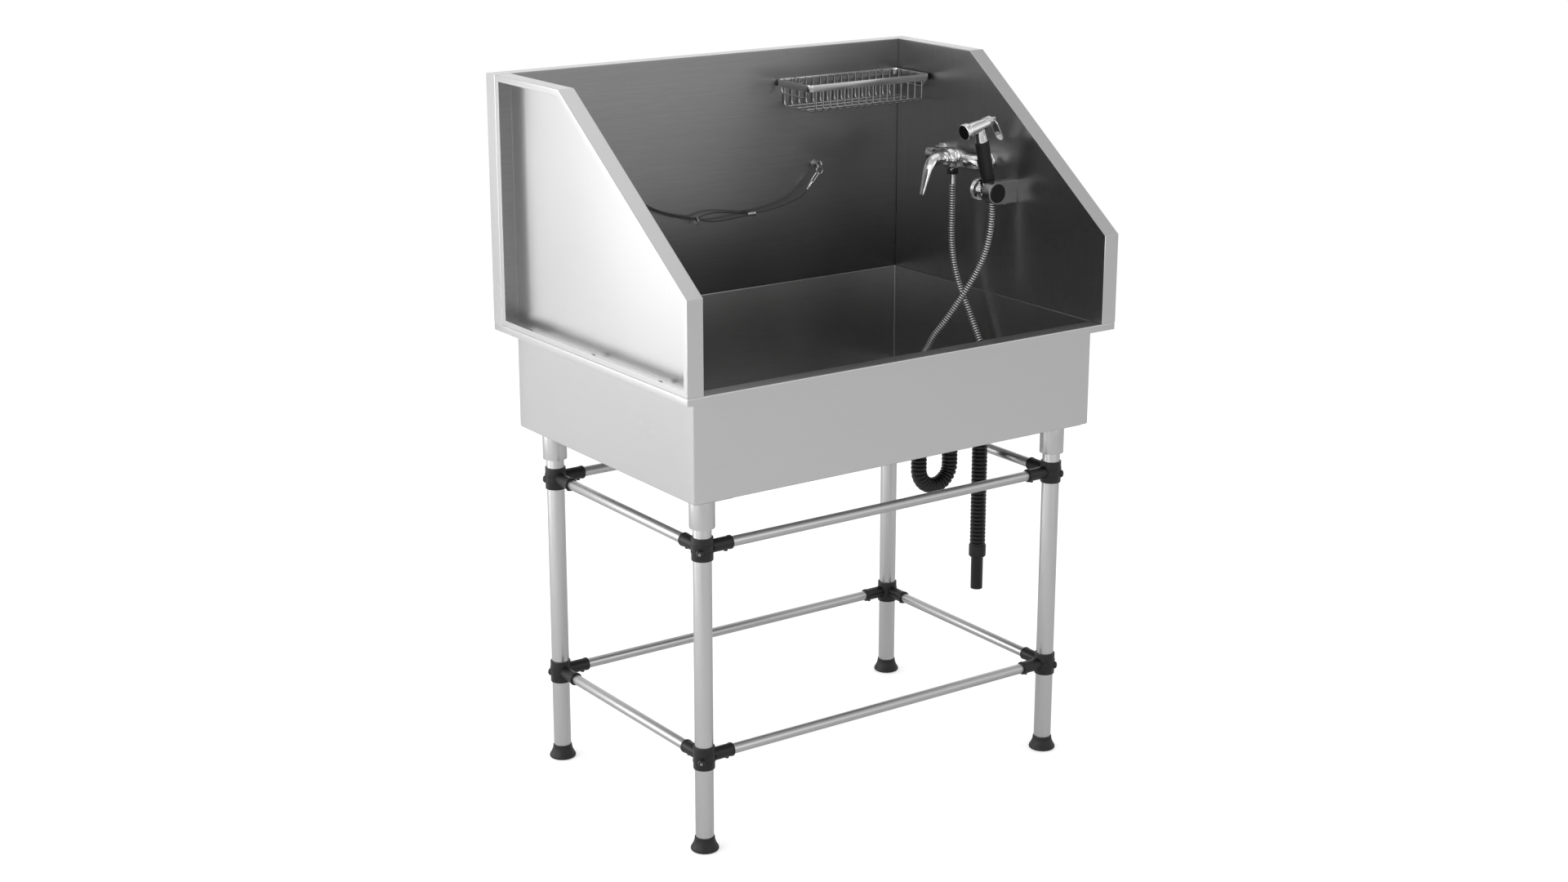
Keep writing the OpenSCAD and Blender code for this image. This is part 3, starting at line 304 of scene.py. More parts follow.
grain, grain_in, grain_out = new_group(
    "grain",
    [("Stretch", VECTOR, (4, 4, 900)), ("Depth", FLOAT, 0.1), ("Amount", FLOAT, 1.0)],
    [("Streak", FLOAT), ("Normal", VECTOR)],
)
coords = add_node(grain, "ShaderNodeTexCoord")
stretched = add_node(grain, "ShaderNodeVectorMath", operation="MULTIPLY")
fine = add_node(grain, "ShaderNodeTexNoise", Scale=1.0, Detail=3.0, Roughness=0.65)
broad_at = add_node(grain, "ShaderNodeVectorMath", operation="SCALE")
broad_at.inputs["Scale"].default_value = 0.13
broad = add_node(grain, "ShaderNodeTexNoise", Scale=1.0, Detail=2.0, Roughness=0.5)
both = mixed(grain, 0.22, fine.outputs["Fac"], broad.outputs["Fac"], "FLOAT")
bump = add_node(grain, "ShaderNodeBump", Distance=0.0004)
link(
    grain,
    (coords.outputs["Object"], stretched.inputs[0]),
    (grain_in.outputs["Stretch"], stretched.inputs[1]),
    (stretched.outputs[0], fine.inputs["Vector"]),
    (stretched.outputs[0], broad_at.inputs[0]),
    (broad_at.outputs[0], broad.inputs["Vector"]),
    (both, grain_out.inputs["Streak"]),
    (reckon(grain, "MULTIPLY", both, grain_in.outputs["Amount"]), bump.inputs["Height"]),
    (grain_in.outputs["Depth"], bump.inputs["Strength"]),
    (bump.outputs["Normal"], grain_out.inputs["Normal"]),
)

marks, marks_in, marks_out = new_group(
    "handling",
    [("Size", FLOAT, 6.0), ("Low", FLOAT, 0.0), ("High", FLOAT, 1.0)],
    [("Value", FLOAT)],
)
coords = add_node(marks, "ShaderNodeTexCoord")
cloudy = add_node(marks, "ShaderNodeTexNoise", Detail=2.0, Roughness=0.5, Distortion=0.2)
low_high = marks_in.outputs["Low"], marks_in.outputs["High"]
link(
    marks,
    (coords.outputs["Object"], cloudy.inputs["Vector"]),
    (marks_in.outputs["Size"], cloudy.inputs["Scale"]),
    (carried_to(marks, cloudy.outputs["Fac"], (0.2, 0.8), low_high), marks_out.inputs["Value"]),
)
print("groups:", [g.name for g in bpy.data.node_groups])

# %% [markdown]
# The same sheet is painted darker inside the tub than outside it: painted shade of the tub's hollow and a
# painted dark reflection. One group finds that painted region from the point's own place. It lies in any of
# three boxes: the tub between the inner faces of its walls, the front rim, and the inner faces of the side
# panels' rear flanges.

# %% Inside of the tub
# boxes in object space where the sheet is painted dark: painted shade and a painted dark reflection
SHADED_BOXES = [
    ((-1, 0.4662), (-0.3147, 0.3147), (0.6985, 2)),
    ((-1, 0.4662), (-0.3474, 0.3147), (0.9106, 2)),
    ((0.4672, 0.4972), (0.3112, 0.3133), (-1, 2)),
]
# heights between which the painted shade inside runs from its top grey to its lower grey
DEPTH_FROM, DEPTH_TO = 1.35, 0.72

inside, _, inside_out = new_group("tub_inside", [], [("Inside", FLOAT), ("Depth", FLOAT)])
coords = add_node(inside, "ShaderNodeTexCoord")
axes = add_node(inside, "ShaderNodeSeparateXYZ")
link(inside, (coords.outputs["Object"], axes.inputs[0]))
place = reckon(inside, "ABSOLUTE", axes.outputs["X"]), axes.outputs["Y"], axes.outputs["Z"]
in_shade = 0.0
for box in SHADED_BOXES:
    here = 1.0
    for value, (low, high) in zip(place, box):
        above = reckon(inside, "GREATER_THAN", value, low)
        below = reckon(inside, "LESS_THAN", value, high)
        here = reckon(inside, "MULTIPLY", here, reckon(inside, "MULTIPLY", above, below))
    in_shade = reckon(inside, "MAXIMUM", in_shade, here)
depth = carried_to(inside, axes.outputs["Z"], (DEPTH_FROM, DEPTH_TO), (0.0, 1.0))
link(inside, (in_shade, inside_out.inputs["Inside"]), (depth, inside_out.inputs["Depth"]))

# %% [markdown]
# A metal's finish is then its colour, varied a little by the streaks, and its roughness, varied by where
# hands and water have been. Colour and roughness come from the two groups; everything that is the same all
# over the surface is set on the shader itself.

# %% Metals
def group_node(tree, group, **values):
    node = tree.nodes.new("ShaderNodeGroup")
    node.node_tree = group
    for key, value in values.items():
        feed(tree, node.inputs[key], value)
    return node


def empty_material(name, metallic=0.0):
    material = bpy.data.materials.new(name)
    material.use_nodes = True
    shader = material.node_tree.nodes["Principled BSDF"]
    shader.inputs["Metallic"].default_value = metallic
    return material, material.node_tree, shader


def metal(name, dark, light, rough_low, rough_high, stretch=(60, 60, 60), depth=0.0, size=6.0):
    """Steel whose colour runs from dark to light along its streaks, and whose roughness runs between two
    values over cloudy patches."""
    material, tree, shader = empty_material(name, 1.0)
    streaks = group_node(tree, grain, Stretch=stretch, Depth=depth)
    patches = group_node(tree, marks, Size=size, Low=rough_low, High=rough_high)
    link(
        tree,
        (mixed(tree, streaks.outputs["Streak"], dark, light), shader.inputs["Base Color"]),
        (patches.outputs["Value"], shader.inputs["Roughness"]),
    )
    if depth:
        link(tree, (streaks.outputs["Normal"], shader.inputs["Normal"]))
    return material


def grey(value):
    return (value, value, value)


def sheet_metal(name, inside_top, inside_low, stretch):
    """Brushed sheet. Outside it is a light grey; inside the tub it is painted shade and a painted dark
    reflection, running from one dark grey at the top to another lower down. The streaks shift the inside
    by a tenth either way, and the outside by a fifth of that."""
    material, tree, shader = empty_material(name, 1.0)
    where_in = group_node(tree, inside)
    amount = carried_to(tree, where_in.outputs["Inside"], (0.0, 1.0), (0.2, 1.0))
    streaks = group_node(tree, grain, Stretch=stretch, Depth=0.1, Amount=amount)
    patches = group_node(tree, marks, Size=2.6, Low=0.26, High=0.32)
    deep = mixed(tree, where_in.outputs["Depth"], inside_top, inside_low)
    shift = carried_to(tree, streaks.outputs["Streak"], (0.3, 0.7), (-0.1, 0.1))
    tint = add_node(tree, "ShaderNodeVectorMath", operation="SCALE")
    link(
        tree,
        (mixed(tree, where_in.outputs["Inside"], grey(0.66), deep), tint.inputs[0]),
        (reckon(tree, "ADD", reckon(tree, "MULTIPLY", shift, amount), 1.0), tint.inputs["Scale"]),
        (tint.outputs[0], shader.inputs["Base Color"]),
        (patches.outputs["Value"], shader.inputs["Roughness"]),
        (streaks.outputs["Normal"], shader.inputs["Normal"]),
    )
    return material


# marks per metre along the brushing and across it
ALONG, ACROSS = 22, 1400
# the two dark greys of each sheet are painted shade inside the tub, at the top and lower down
steel_x = sheet_metal("steel_brushed_x", grey(0.33), grey(0.41), (ALONG, ACROSS, ACROSS))
steel_y = sheet_metal("steel_brushed_y", grey(0.33), grey(0.41), (ACROSS, ALONG, ACROSS))
# painted light and shade: the panels' X-facing insides painted lighter lower down, the back panel's darker
steel_z = sheet_metal("steel_brushed_z", grey(0.35), grey(0.50), (ACROSS, ACROSS, ALONG))
steel_back = sheet_metal("steel_brushed_back", grey(0.33), grey(0.16), (ALONG, ACROSS, ACROSS))
tube_steel = metal("tube_satin", grey(0.56), grey(0.66), 0.28, 0.34, (700, 700, 12), 0.03)
rail_x_steel = metal("rail_satin_x", grey(0.50), grey(0.58), 0.3, 0.36, (12, 700, 700), 0.02)
rail_y_steel = metal("rail_satin_y", grey(0.50), grey(0.58), 0.3, 0.36, (700, 12, 700), 0.02)
chrome = metal("chrome_polished", grey(0.80), grey(0.87), 0.05, 0.1, (40, 40, 40), 0.0, 14.0)
wire_steel = metal("wire_polished", grey(0.46), grey(0.58), 0.14, 0.22, (60, 60, 60), 0.0, 20.0)
dark_nickel = metal("nickel_dark", grey(0.10), grey(0.17), 0.16, 0.26, (60, 60, 60), 0.0, 30.0)
plain_steel = metal("fastener_steel", grey(0.42), grey(0.55), 0.28, 0.42, (300, 300, 300), 0.05, 40.0)


# %% [markdown]
# The black parts are moulded: the clamps and the waste pipe in a satin plastic with a fine orange-peel skin,
# the feet and the grip in rubber, which is rougher. The same noise drives a little colour and bump.

# %% Black mouldings
def moulded(name, dark, light, rough_low, rough_high, grain_size, depth):
    """Moulded black: patches vary its colour and roughness, and a fine even grain gives its skin."""
    material, tree, shader = empty_material(name)
    skin = group_node(tree, grain, Stretch=(grain_size,) * 3, Depth=depth)
    patches = group_node(tree, marks, Size=8.0, Low=rough_low, High=rough_high)
    dust = group_node(tree, marks, Size=18.4, Low=0.0, High=1.0)
    shader.inputs["Specular IOR Level"].default_value = 0.38
    link(
        tree,
        (mixed(tree, dust.outputs["Value"], dark, light), shader.inputs["Base Color"]),
        (patches.outputs["Value"], shader.inputs["Roughness"]),
        (skin.outputs["Normal"], shader.inputs["Normal"]),
    )
    return material


clamp_black = moulded("clamp_black", grey(0.008), grey(0.014), 0.34, 0.45, 900, 0.25)
plastic_black = moulded("plastic_black", grey(0.006), grey(0.010), 0.30, 0.42, 700, 0.2)
rubber_black = moulded("rubber_black", grey(0.010), grey(0.016), 0.42, 0.55, 1100, 0.3)
face_black = moulded("face_black", grey(0.006), grey(0.010), 0.22, 0.3, 900, 0.1)
cable_coat = moulded("cable_coat", grey(0.03), grey(0.055), 0.25, 0.38, 500, 0.3)
print("materials:", len(bpy.data.materials))


def dress(material, *names):
    """Gives CAD nodes, which keep their own meshes, a material in all their slots."""
    for name in names:
        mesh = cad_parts[name].data
        mesh.materials.clear()
        mesh.materials.append(material)


def finish_piece(obj, material, body, slot, *nodes):
    """A new piece gets its material, unless it has one, rides on a body and stands for CAD nodes. Its slot
    is not used."""
    if material:
        obj.data.materials.append(material)
    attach(obj, body)
    if nodes:
        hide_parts(*nodes)
    print(f"{obj.name}: {len(obj.data.polygons)} faces")


def piece(name, node, material, slot, *shells, body="tub", crease=35):
    """A new object made of shells, in one material, that stands for one CAD node or for none."""
    obj = surface(name, *shells, crease=crease)
    finish_piece(obj, material, body, slot, *([node] if node else []))
    return obj

# %% [markdown]
# ## The shower hose
#
# A shower hose is a soft tube inside a stainless strip that is wound and hooked into itself, so it is all
# ribs, and it bends in wide, even curves. This one is 1.5 m long: it drops from the mixer, lies in a loop on
# the basin's floor and rises to the hand sprayer.

# %% Shower hose
HOSE_ROUTE = [
    (429.5, 80, 1128), (430, 80, 1100), (430, 80, 1065), (430, 80, 1030), (430, 77, 995), (431, 68, 955),
    (433, 52, 915), (436, 32, 880), (438, 12, 846), (440, -8, 812), (439, -31, 780), (434, -58, 750),
    (425, -90, 726), (412, -124, 712), (390, -158, 711), (358, -180, 711), (322, -182, 711), (290, -164, 711),
    (272, -130, 711), (266, -92, 711), (262, -54, 711), (252, -16, 711), (238, 20, 711), (228, 58, 711),
    (232, 98, 711), (252, 132, 711), (286, 150, 713), (320, 144, 722), (344, 118, 738), (353, 86, 762),
    (354, 60, 792), (356, 38, 826), (367, 16, 860), (381, -2, 896), (396, -18, 932), (410, -31, 968),
    (421, -40, 1004), (428, -45, 1042), (431.6, -46, 1080), (431.4, -46, 1106), (429, -46, 1118),
]
HOSE_D = 14 * MM
RIB, RIB_DEPTH, HOSE_SIDES = 5.2 * MM, 1.3 * MM, 18


def ribbed_radius(along, pitch, crest, valley, width=0.62):
    """Radius of a ribbed tube: it stands at the crest for most of each pitch and dips to the valley in
    between, with rounded shoulders: a raised cosine with its middle held flat."""
    phase = (along / pitch) % 1.0
    dip = np.clip((np.abs(phase - 0.5) * 2 - width) / (1 - width), 0, 1)
    return crest - (crest - valley) * (0.5 - 0.5 * np.cos(math.pi * dip))


hose_line, hose_along = smooth_route(np.array(HOSE_ROUTE) * MM, RIB / 9)
hose_radius = ribbed_radius(hose_along, RIB, HOSE_D / 2, HOSE_D / 2 - RIB_DEPTH, width=0.25)
shower_hose = surface("shower_hose_ribbed", tube_grid(hose_line, hose_radius, HOSE_SIDES))
# how deep each point lies in its groove, from 0 to 1, for painted shade in the grooves
groove = np.zeros(len(shower_hose.data.vertices), np.float32)
groove[: len(hose_radius) * HOSE_SIDES] = np.repeat((HOSE_D / 2 - hose_radius) / RIB_DEPTH, HOSE_SIDES)
shower_hose.data.attributes.new("groove", "FLOAT", "POINT").data.foreach_set("value", groove)
# painted shade: the base colour darkens from the strip's grey to near black at the bottom of each groove
hose_steel, tree, shader = empty_material("hose_steel", 1.0)
depth_in = add_node(tree, "ShaderNodeAttribute", attribute_name="groove")
patches = group_node(tree, marks, Size=20.0, Low=0.16, High=0.26)
link(
    tree,
    (mixed(tree, depth_in.outputs["Fac"], grey(0.74), grey(0.06)), shader.inputs["Base Color"]),
    (patches.outputs["Value"], shader.inputs["Roughness"]),
)
shower_hose.data.materials.append(hose_steel)
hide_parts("shower_hose")
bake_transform(shower_hose)
print(f"shower hose: {hose_along[-1]:.3f} m")

# %% [markdown]
# ## The tether line
#
# The tether keeps the animal in place. It is a thin wire rope in a dark plastic coat, clipped to an eye on
# the right. A crimped sleeve turns its end into a long loop, which a sliding ring gathers, and which hangs
# over a headed post on the left.

# %% Tether line
TETHER_ROUTE = [
    (216.3, 295, 1107.6), (211.6, 295.2, 1102.2), (204, 295.5, 1096), (194, 295.8, 1090.8),
    (180, 296.4, 1085.8),
    (160, 297, 1080.6), (140, 297, 1076.9), (118, 297, 1074), (98, 297, 1072.2), (78, 297, 1071.5),
    (60, 297, 1073), (36, 297, 1077), (10, 297, 1081),
    (-14, 297, 1083), (-36, 297, 1081.5), (-50, 297, 1078), (-58, 297, 1076.5), (-74, 297, 1079.5),
    (-102, 297, 1086.5), (-130, 297, 1095), (-152, 297, 1103.5), (-174, 297, 1114.5), (-198, 297, 1129),
    (-222, 297, 1145), (-241, 297, 1158.6), (-244.6, 297, 1160.8), (-248.8, 297, 1161.1),
    (-251.6, 297, 1158.6),
    (-252.3, 297, 1154.8), (-249.8, 297, 1151.4), (-246, 297, 1149.2), (-222, 297, 1136), (-198, 297, 1122.4),
    (-174, 297, 1110.5), (-130, 297, 1091.4), (-102, 297, 1082.9), (-74, 297, 1075.8), (-58, 297, 1073),
    (-50, 297, 1072), (-32, 297, 1067.5), (-10, 297, 1064.8), (20, 297, 1065.3), (50, 297, 1067.5),
    (70, 297, 1068.5),
]
CABLE_D = 2.6 * MM
cable_line, cable_along = smooth_route(np.array(TETHER_ROUTE) * MM, 1.5 * MM)
tether_cable = piece(
    "tether_cable_coated", "tether_cable", cable_coat, "cable", tube_grid(cable_line, CABLE_D / 2, 12),
)
print(f"tether cable: {cable_along[-1]:.3f} m")

# %% [markdown]
# ## The splash panels
#
# Each splash panel is one sheet, 1.5 mm thick, folded into a shallow tray: the face looks into the tub, the
# flanges stand outwards round its edge, and a narrow lip returns along their ends. So the tray is one
# section, a line of insets from the outline and heights above the face, carried round the outline with
# mitred corners. The folds have a real bend radius, because that is what catches the light as a thin line.

# %% Folded trays
SHEET = 1.5
WALL_X, WALL_Y, RIM = 465.5, 314.0, 911.5


def carried_round(outline, profile):
    """Each outline corner moved inwards by each profile inset d: corner + (n1 + n2) d / (1 + n1 . n2), where
    n1 and n2 are the inward normals of its two sides. The profile's height is the third coordinate."""
    p = np.asarray(outline, float)
    side = np.roll(p, -1, 0) - p
    side /= np.linalg.norm(side, axis=1)[:, None]
    n = np.stack([-side[:, 1], side[:, 0]], -1)
    before = np.roll(n, 1, 0)
    move = (before + n) / (1 + (before * n).sum(1))[:, None]
    d, h = np.asarray(profile, float).T
    flat = p[None] + d[:, None, None] * move[None]
    return np.concatenate([flat, np.repeat(h[:, None, None], len(p), 1)], -1)


def tray_profile(depth, lip, bend=1.8):
    """Section of a folded tray: face, flange and return lip on the outside, then back inside the sheet."""
    t = SHEET
    line = [(9, 0), (0, 0), (0, depth), (lip, depth), (lip, depth - t), (t, depth - t), (t, t), (9, t)]
    return rounded(line, [bend, bend, 0.4, 0.4, bend - t, bend - t])


def soften(obj, width):
    """Rounds an object's sharp edges with a Bevel, and lets its flat faces decide the shading."""
    bevel = obj.modifiers.new("edges", "BEVEL")
    bevel.width = width * MM
    bevel.segments = 2
    bevel.limit_method = "ANGLE"
    bevel.angle_limit = math.radians(30)
    flat = obj.modifiers.new("flat_faces", "WEIGHTED_NORMAL")
    flat.mode = "FACE_AREA"
    flat.weight = 100
    return obj


def grain_by_facing(obj, facing_x, facing_y, facing_z):
    """Sheet is brushed along its length, so a face takes its material from the axis that it faces most."""
    mesh = obj.data
    for material in (facing_x, facing_y, facing_z):
        mesh.materials.append(material)
    normals = np.zeros(len(mesh.polygons) * 3)
    mesh.polygons.foreach_get("normal", normals)
    mesh.polygons.foreach_set("material_index", np.abs(normals.reshape(-1, 3)).argmax(1).astype(np.int32))


# %% Three panels
PANEL_DEPTH, LIP = 34.5, 12.0
SIDE_OUTLINE = [(-348.5, 0), (313.7, 0), (313.7, 488.5), (75.7, 488.5), (-348.5, 176)]
BACK_OUTLINE = [(-500, 0), (500, 0), (500, 488.5), (-500, 488.5)]
section = tray_profile(PANEL_DEPTH, LIP)
side = carried_round(SIDE_OUTLINE, section)
back = carried_round(BACK_OUTLINE, section)
grids = {
    "left_splash_panel": np.stack([-WALL_X - side[..., 2], side[..., 0], RIM + side[..., 1]], -1),
    "right_splash_panel": np.stack([WALL_X + side[..., 2], side[..., 0], RIM + side[..., 1]], -1),
    "back_splash_panel": np.stack([-back[..., 0], WALL_Y + back[..., 2], RIM + back[..., 1]], -1),
}
for node, grid in grids.items():
    panel = soften(surface("folded_" + node, grid * MM), 0.4)
    grain_by_facing(panel, steel_z, steel_back if node == "back_splash_panel" else steel_x, steel_x)
    finish_piece(panel, None, "tub", "steel", node)

# %% [markdown]
# ## The basin
#
# The basin is drawn and welded from the same sheet. Going outwards from the drain it is a round dish, a flat
# floor, a bend, four walls, a flat rim and a folded lip, and then the same way back underneath. Every one of
# those is a ring of 96 points: circles at the drain and rectangles with small round corners farther out. The
# rings in between are mixtures of the two, so the whole basin is one closed grid with no seam.

# %% Basin
DRAIN = np.array([212.0, -100.0])
FLOOR = 703.2


def rectangle_ring(offset, z, corner=3.0):
    """96 points round a rectangle that stands offset outside the basin's inner walls. Each quarter is eight
    points of corner arc, centre + r (cos a, sin a), and sixteen along the side that follows."""
    half = np.array([WALL_X, WALL_Y]) + offset
    quarter = np.arange(4)[:, None]
    signs = np.stack([np.array([1, -1, -1, 1]), np.array([1, 1, -1, -1])], -1)[:, None]
    angle = np.radians(90 * quarter + np.linspace(0, 90, 8)[None])
    arc = signs * (half - corner) + corner * np.stack([np.cos(angle), np.sin(angle)], -1)
    t = np.linspace(0, 1, 18)[None, 1:-1, None]
    line = arc[:, -1:] * (1 - t) + np.roll(arc, -1, 0)[:, :1] * t
    ring = np.concatenate([arc, line], 1).reshape(-1, 2)
    return np.column_stack([ring, np.full(len(ring), z)])


def circle_ring(radius, z, towards):
    """96 points round the drain, each in the direction of the rectangle's point of the same number."""
    way = towards[:, :2] - DRAIN
    way /= np.linalg.norm(way, axis=1)[:, None]
    return np.column_stack([DRAIN + radius * way, np.full(len(way), z)])


walls = rounded(
    [
        (-60, FLOOR), (0, FLOOR), (0, RIM), (34.5, RIM), (34.5, RIM - 14), (33, RIM - 14),
        (33, RIM - SHEET), (SHEET, RIM - SHEET), (SHEET, FLOOR - SHEET), (-60, FLOOR - SHEET),
    ],
    [3, 1.7, 1.7, 0.3, 0.3, 0.2, 0.2, 3.5],
)
rings = [rectangle_ring(o, z) for o, z in walls]
top, under = rings[0], rings[-1]
upper_dish = [(30.05, FLOOR - 4), (42.5, FLOOR - 4), (46.5, FLOOR), (70, FLOOR)]
lower_dish = [(70, FLOOR), (48, FLOOR), (44, FLOOR - 4), (30.05, FLOOR - 4)]
dish_in = [circle_ring(r, z, top) for r, z in rounded(upper_dish, 2)]
dish_out = [circle_ring(r, z - SHEET, under) for r, z in rounded(lower_dish, 2)]
between = [dish_in[-1] * (1 - t) + top * t for t in (0.3, 0.65)]
beneath = [under * (1 - t) + dish_out[0] * t for t in (0.35, 0.7)]
basin_grid = np.stack(dish_in + between + rings + beneath + dish_out) * MM
basin = surface("folded_basin", (basin_grid, True))
grain_by_facing(basin, steel_y, steel_x, steel_x)
finish_piece(basin, None, "tub", "steel", "basin")
dress(plain_steel, "panel_bolts", "wall_screws")

# %% [markdown]
# ## The stand
#
# The stand is plain round tube: four legs and eight rails, joined by cast three-way clamps with set screws.
# Every part of it is a shape turned on a lathe, so each one is a short list of radii and heights.

# %% Legs, feet and sleeves
AXES = np.eye(3)
LEG_X, LEG_Y, LEG_R, LEG_TOP = 418.0, 265.5, 17.5, 698.7
CORNERS = {"front_left": (-1, -1), "front_right": (1, -1), "back_left": (-1, 1), "back_right": (1, 1)}


def tube_wall(outer, inner, low, high, base, axis=(0, 0, 1), edge=0.5):
    """A length of tube with its ends eased, turned from the section of its wall."""
    section = [(inner, low), (outer, low), (outer, high), (inner, high)]
    return turned(section, edge, base, axis, closed=True, steps=2)


def slab(outline, thick, edge, origin, directions=AXES):
    """A plate: the outline, inset in a rounded edge at the bottom and at the top. Its point (u, v, h) stands
    at origin + u a + v b + h c, where a, b and c are the three directions."""
    profile = rounded([(edge * 2, 0), (0, 0), (0, thick), (edge * 2, thick)], edge, steps=3)
    return (np.asarray(origin) + carried_round(outline, profile) @ np.asarray(directions)) * MM


FOOT = [(1, 0), (23.5, 0), (27, 2.2), (27, 5.5), (22.5, 13), (19.6, 21), (19.1, 28), (17.6, 28), (17.6, 26)]
PLATE = rounded([(-42, -42), (42, -42), (42, 42), (-42, 42)], 5, closed=True)
feet, sleeves = [], []
for corner, (sx, sy) in CORNERS.items():
    base = (sx * LEG_X, sy * LEG_Y, 0)
    wall = tube_wall(LEG_R, LEG_R - 2, 8, LEG_TOP, base)
    piece("tube_leg_" + corner, "leg_" + corner, tube_steel, "tube", wall)
    feet.append(turned(FOOT, 2.4, base))
    sleeves.append(tube_wall(24, 17.6, 640, LEG_TOP, base, edge=0.8))
    sleeves.append(slab(PLATE, 3, 0.5, (*base[:2], LEG_TOP)))
piece("rubber_feet", "feet", rubber_black, "rubber", *feet)
piece("welded_sleeves", "leg_sleeves", tube_steel, "steel", *sleeves)

# %% Rails
RAIL_R, RAIL_BORE, RAIL_END = 10.0, 8.5, 38.0
LEVELS = {"lower": 189.0, "upper": 600.0}
for level, z in LEVELS.items():
    for way, kind, steel in ((0, "long", rail_x_steel), (1, "short", rail_y_steel)):
        start = RAIL_END - (LEG_X, LEG_Y)[way]
        pair = []
        for s in (-1, 1):
            base = (start, s * LEG_Y, z) if way == 0 else (s * LEG_X, start, z)
            pair.append(tube_wall(RAIL_R, RAIL_BORE, 0, -2 * start, base, AXES[way]))
        piece(f"{level}_rails_{kind}", f"{level}_{kind}_rails", steel, "tube", *pair)


# %% [markdown]
# A clamp is a ring round the leg with two raised bands, a socket for each of its two rails with a collar at
# its mouth, a nub for the rail's set screw underneath, and a tapered boss for the leg's set screw on the
# outside. Overlapping closed shells are enough for such a moulding, because its corners are tight.

# %% Clamps
MOUTH = [(3, 18), (12.5, 18), (12.5, 56.6), (13.3, 57.2), (13.3, 62), (10.05, 62), (10.05, 40), (3, 40)]
NUB = [(4, 9), (4, 15), (1.6, 15), (1.6, 14)]
BOSS = [(8.6, 17), (7.6, 22.2), (5.0, 25.5), (1.6, 25.5), (1.6, 24)]


def clamp_shells(corner, z):
    """The shells of one three-way clamp round the leg at a corner, at height z."""
    sx, sy = corner
    x, y = sx * LEG_X, sy * LEG_Y
    bore = LEG_R + 0.05
    ring = [
        (bore, -22), (20.5, -22), (20.5, -8.6), (21.5, -8.2), (21.5, -4.8), (20.5, -4.4),
        (20.5, 4.4), (21.5, 4.8), (21.5, 8.2), (20.5, 8.6), (20.5, 22), (bore, 22),
    ]
    shells = [turned(ring, 0.9, (x, y, z), sides=56, closed=True, steps=2)]
    for way in ((-sx, 0, 0), (0, -sy, 0)):
        shells.append(turned(MOUTH, 0.7, (x, y, z), way, 40, steps=2))
        screw_at = (x + 51 * way[0], y + 51 * way[1], z)
        shells.append(turned(NUB, 0.6, screw_at, (0, 0, -1), 20, steps=2))
    shells.append(turned(BOSS, 1.0, (x, y, z - 5), (sx, sy, 0), 28, steps=3))
    return shells


for corner, signs in CORNERS.items():
    shells = clamp_shells(signs, LEVELS["upper"])
    piece("cast_clamp_" + corner, "upper_clamp_" + corner, clamp_black, "black", *shells)
low = [shell for signs in CORNERS.values() for shell in clamp_shells(signs, LEVELS["lower"])]
piece("cast_clamps_low", "lower_clamps", clamp_black, "black", *low)
dress(plain_steel, "set_screws")

# %% [markdown]
# ## The drain
#
# Under the basin a waste body, its nut and a formed, pleated waste pipe hang down. The pipe makes a water
# trap: down, round a U bend, up, round again and down into a straight tail. A pleated pipe keeps its ribs
# square to its own centre line, so it is one tube along that line with a radius that rises and falls.

# %% Waste pipe
DX, DY = DRAIN
TOP, LOW_BEND, HIGH_BEND, BEND, ADAPTOR_TOP = 639.7, 596.7, 635.7, 39.5, 408.0
PLEAT = 8.1


def half_turn(centre_x, centre_z, start, end, count=40):
    """Points round a half circle in the XZ plane, from one angle to another."""
    a = np.radians(np.linspace(start, end, count))
    return np.stack([centre_x + BEND * np.cos(a), np.full(count, DY), centre_z + BEND * np.sin(a)], -1)


def drop(x, z0, z1, count=12):
    """Points down or up a straight length."""
    return np.stack([np.full(count, x), np.full(count, DY), np.linspace(z0, z1, count)], -1)


pipe = np.vstack(
    [
        drop(DX, TOP + 6, LOW_BEND)[:-1],
        half_turn(DX + BEND, LOW_BEND, 180, 360),
        drop(DX + 2 * BEND, LOW_BEND, HIGH_BEND)[1:-1],
        half_turn(DX + 3 * BEND, HIGH_BEND, 180, 0),
        drop(DX + 4 * BEND, HIGH_BEND, ADAPTOR_TOP - 6)[1:],
    ]
)
along = np.concatenate([[0], np.cumsum(np.linalg.norm(np.diff(pipe, axis=0), axis=1))])
at = np.arange(0, along[-1], PLEAT / 9)
pipe_line = np.stack([np.interp(at, along, pipe[:, k]) for k in range(3)], -1) * MM
pleats = tube_grid(pipe_line, ribbed_radius(at, PLEAT, 16.0, 13.4, 0.42) * MM, 40, reference=(0, 1, 0))
piece("pleated_waste_pipe", "drain_hose", plastic_black, "black_plastic", pleats, crease=60)
print(f"waste pipe: {along[-1]:.0f} mm along its middle")

# %% Waste body, nuts and tail
end_x = DX + 4 * BEND
tail = [
    (10.5, 312), (12.5, 312), (12.5, 380.5), (14.5, 381.2), (17.7, 384.4), (17.7, 407), (16.6, 408),
    (13, 408),
    (13, 400), (10.5, 400),
]
piece(
    "waste_tail", "drain_adaptor", plastic_black, "black_plastic",
    turned(tail, 0.8, (end_x, DY, 0), closed=True, steps=2),
)
flange = [
    (27, 691.7), (27, 700.2), (30, 701.2), (40, 700.2), (40, 699.2), (30, 699.2), (30, 663.7), (15, 663.7),
    (15, 639.7), (12, 639.7), (12, 666.7), (24, 666.7), (24, 691.7),
]
piece(
    "waste_flange", "drain_flange", chrome, "bright",
    turned(flange, 0.5, (DX, DY, 0), closed=True, steps=2),
)
dress(chrome, "drain_strainer")
dress(rubber_black, "drain_gasket")
dress(plastic_black, "drain_locknut", "drain_tail_nut")

# %% [markdown]
# ## The mixer
#
# The mixer is a polished bar with a swollen middle. Its two ends turn back to the wall through round elbows,
# hexagonal union nuts and wall flanges. A fat horn of a lever curves out of the middle and down.

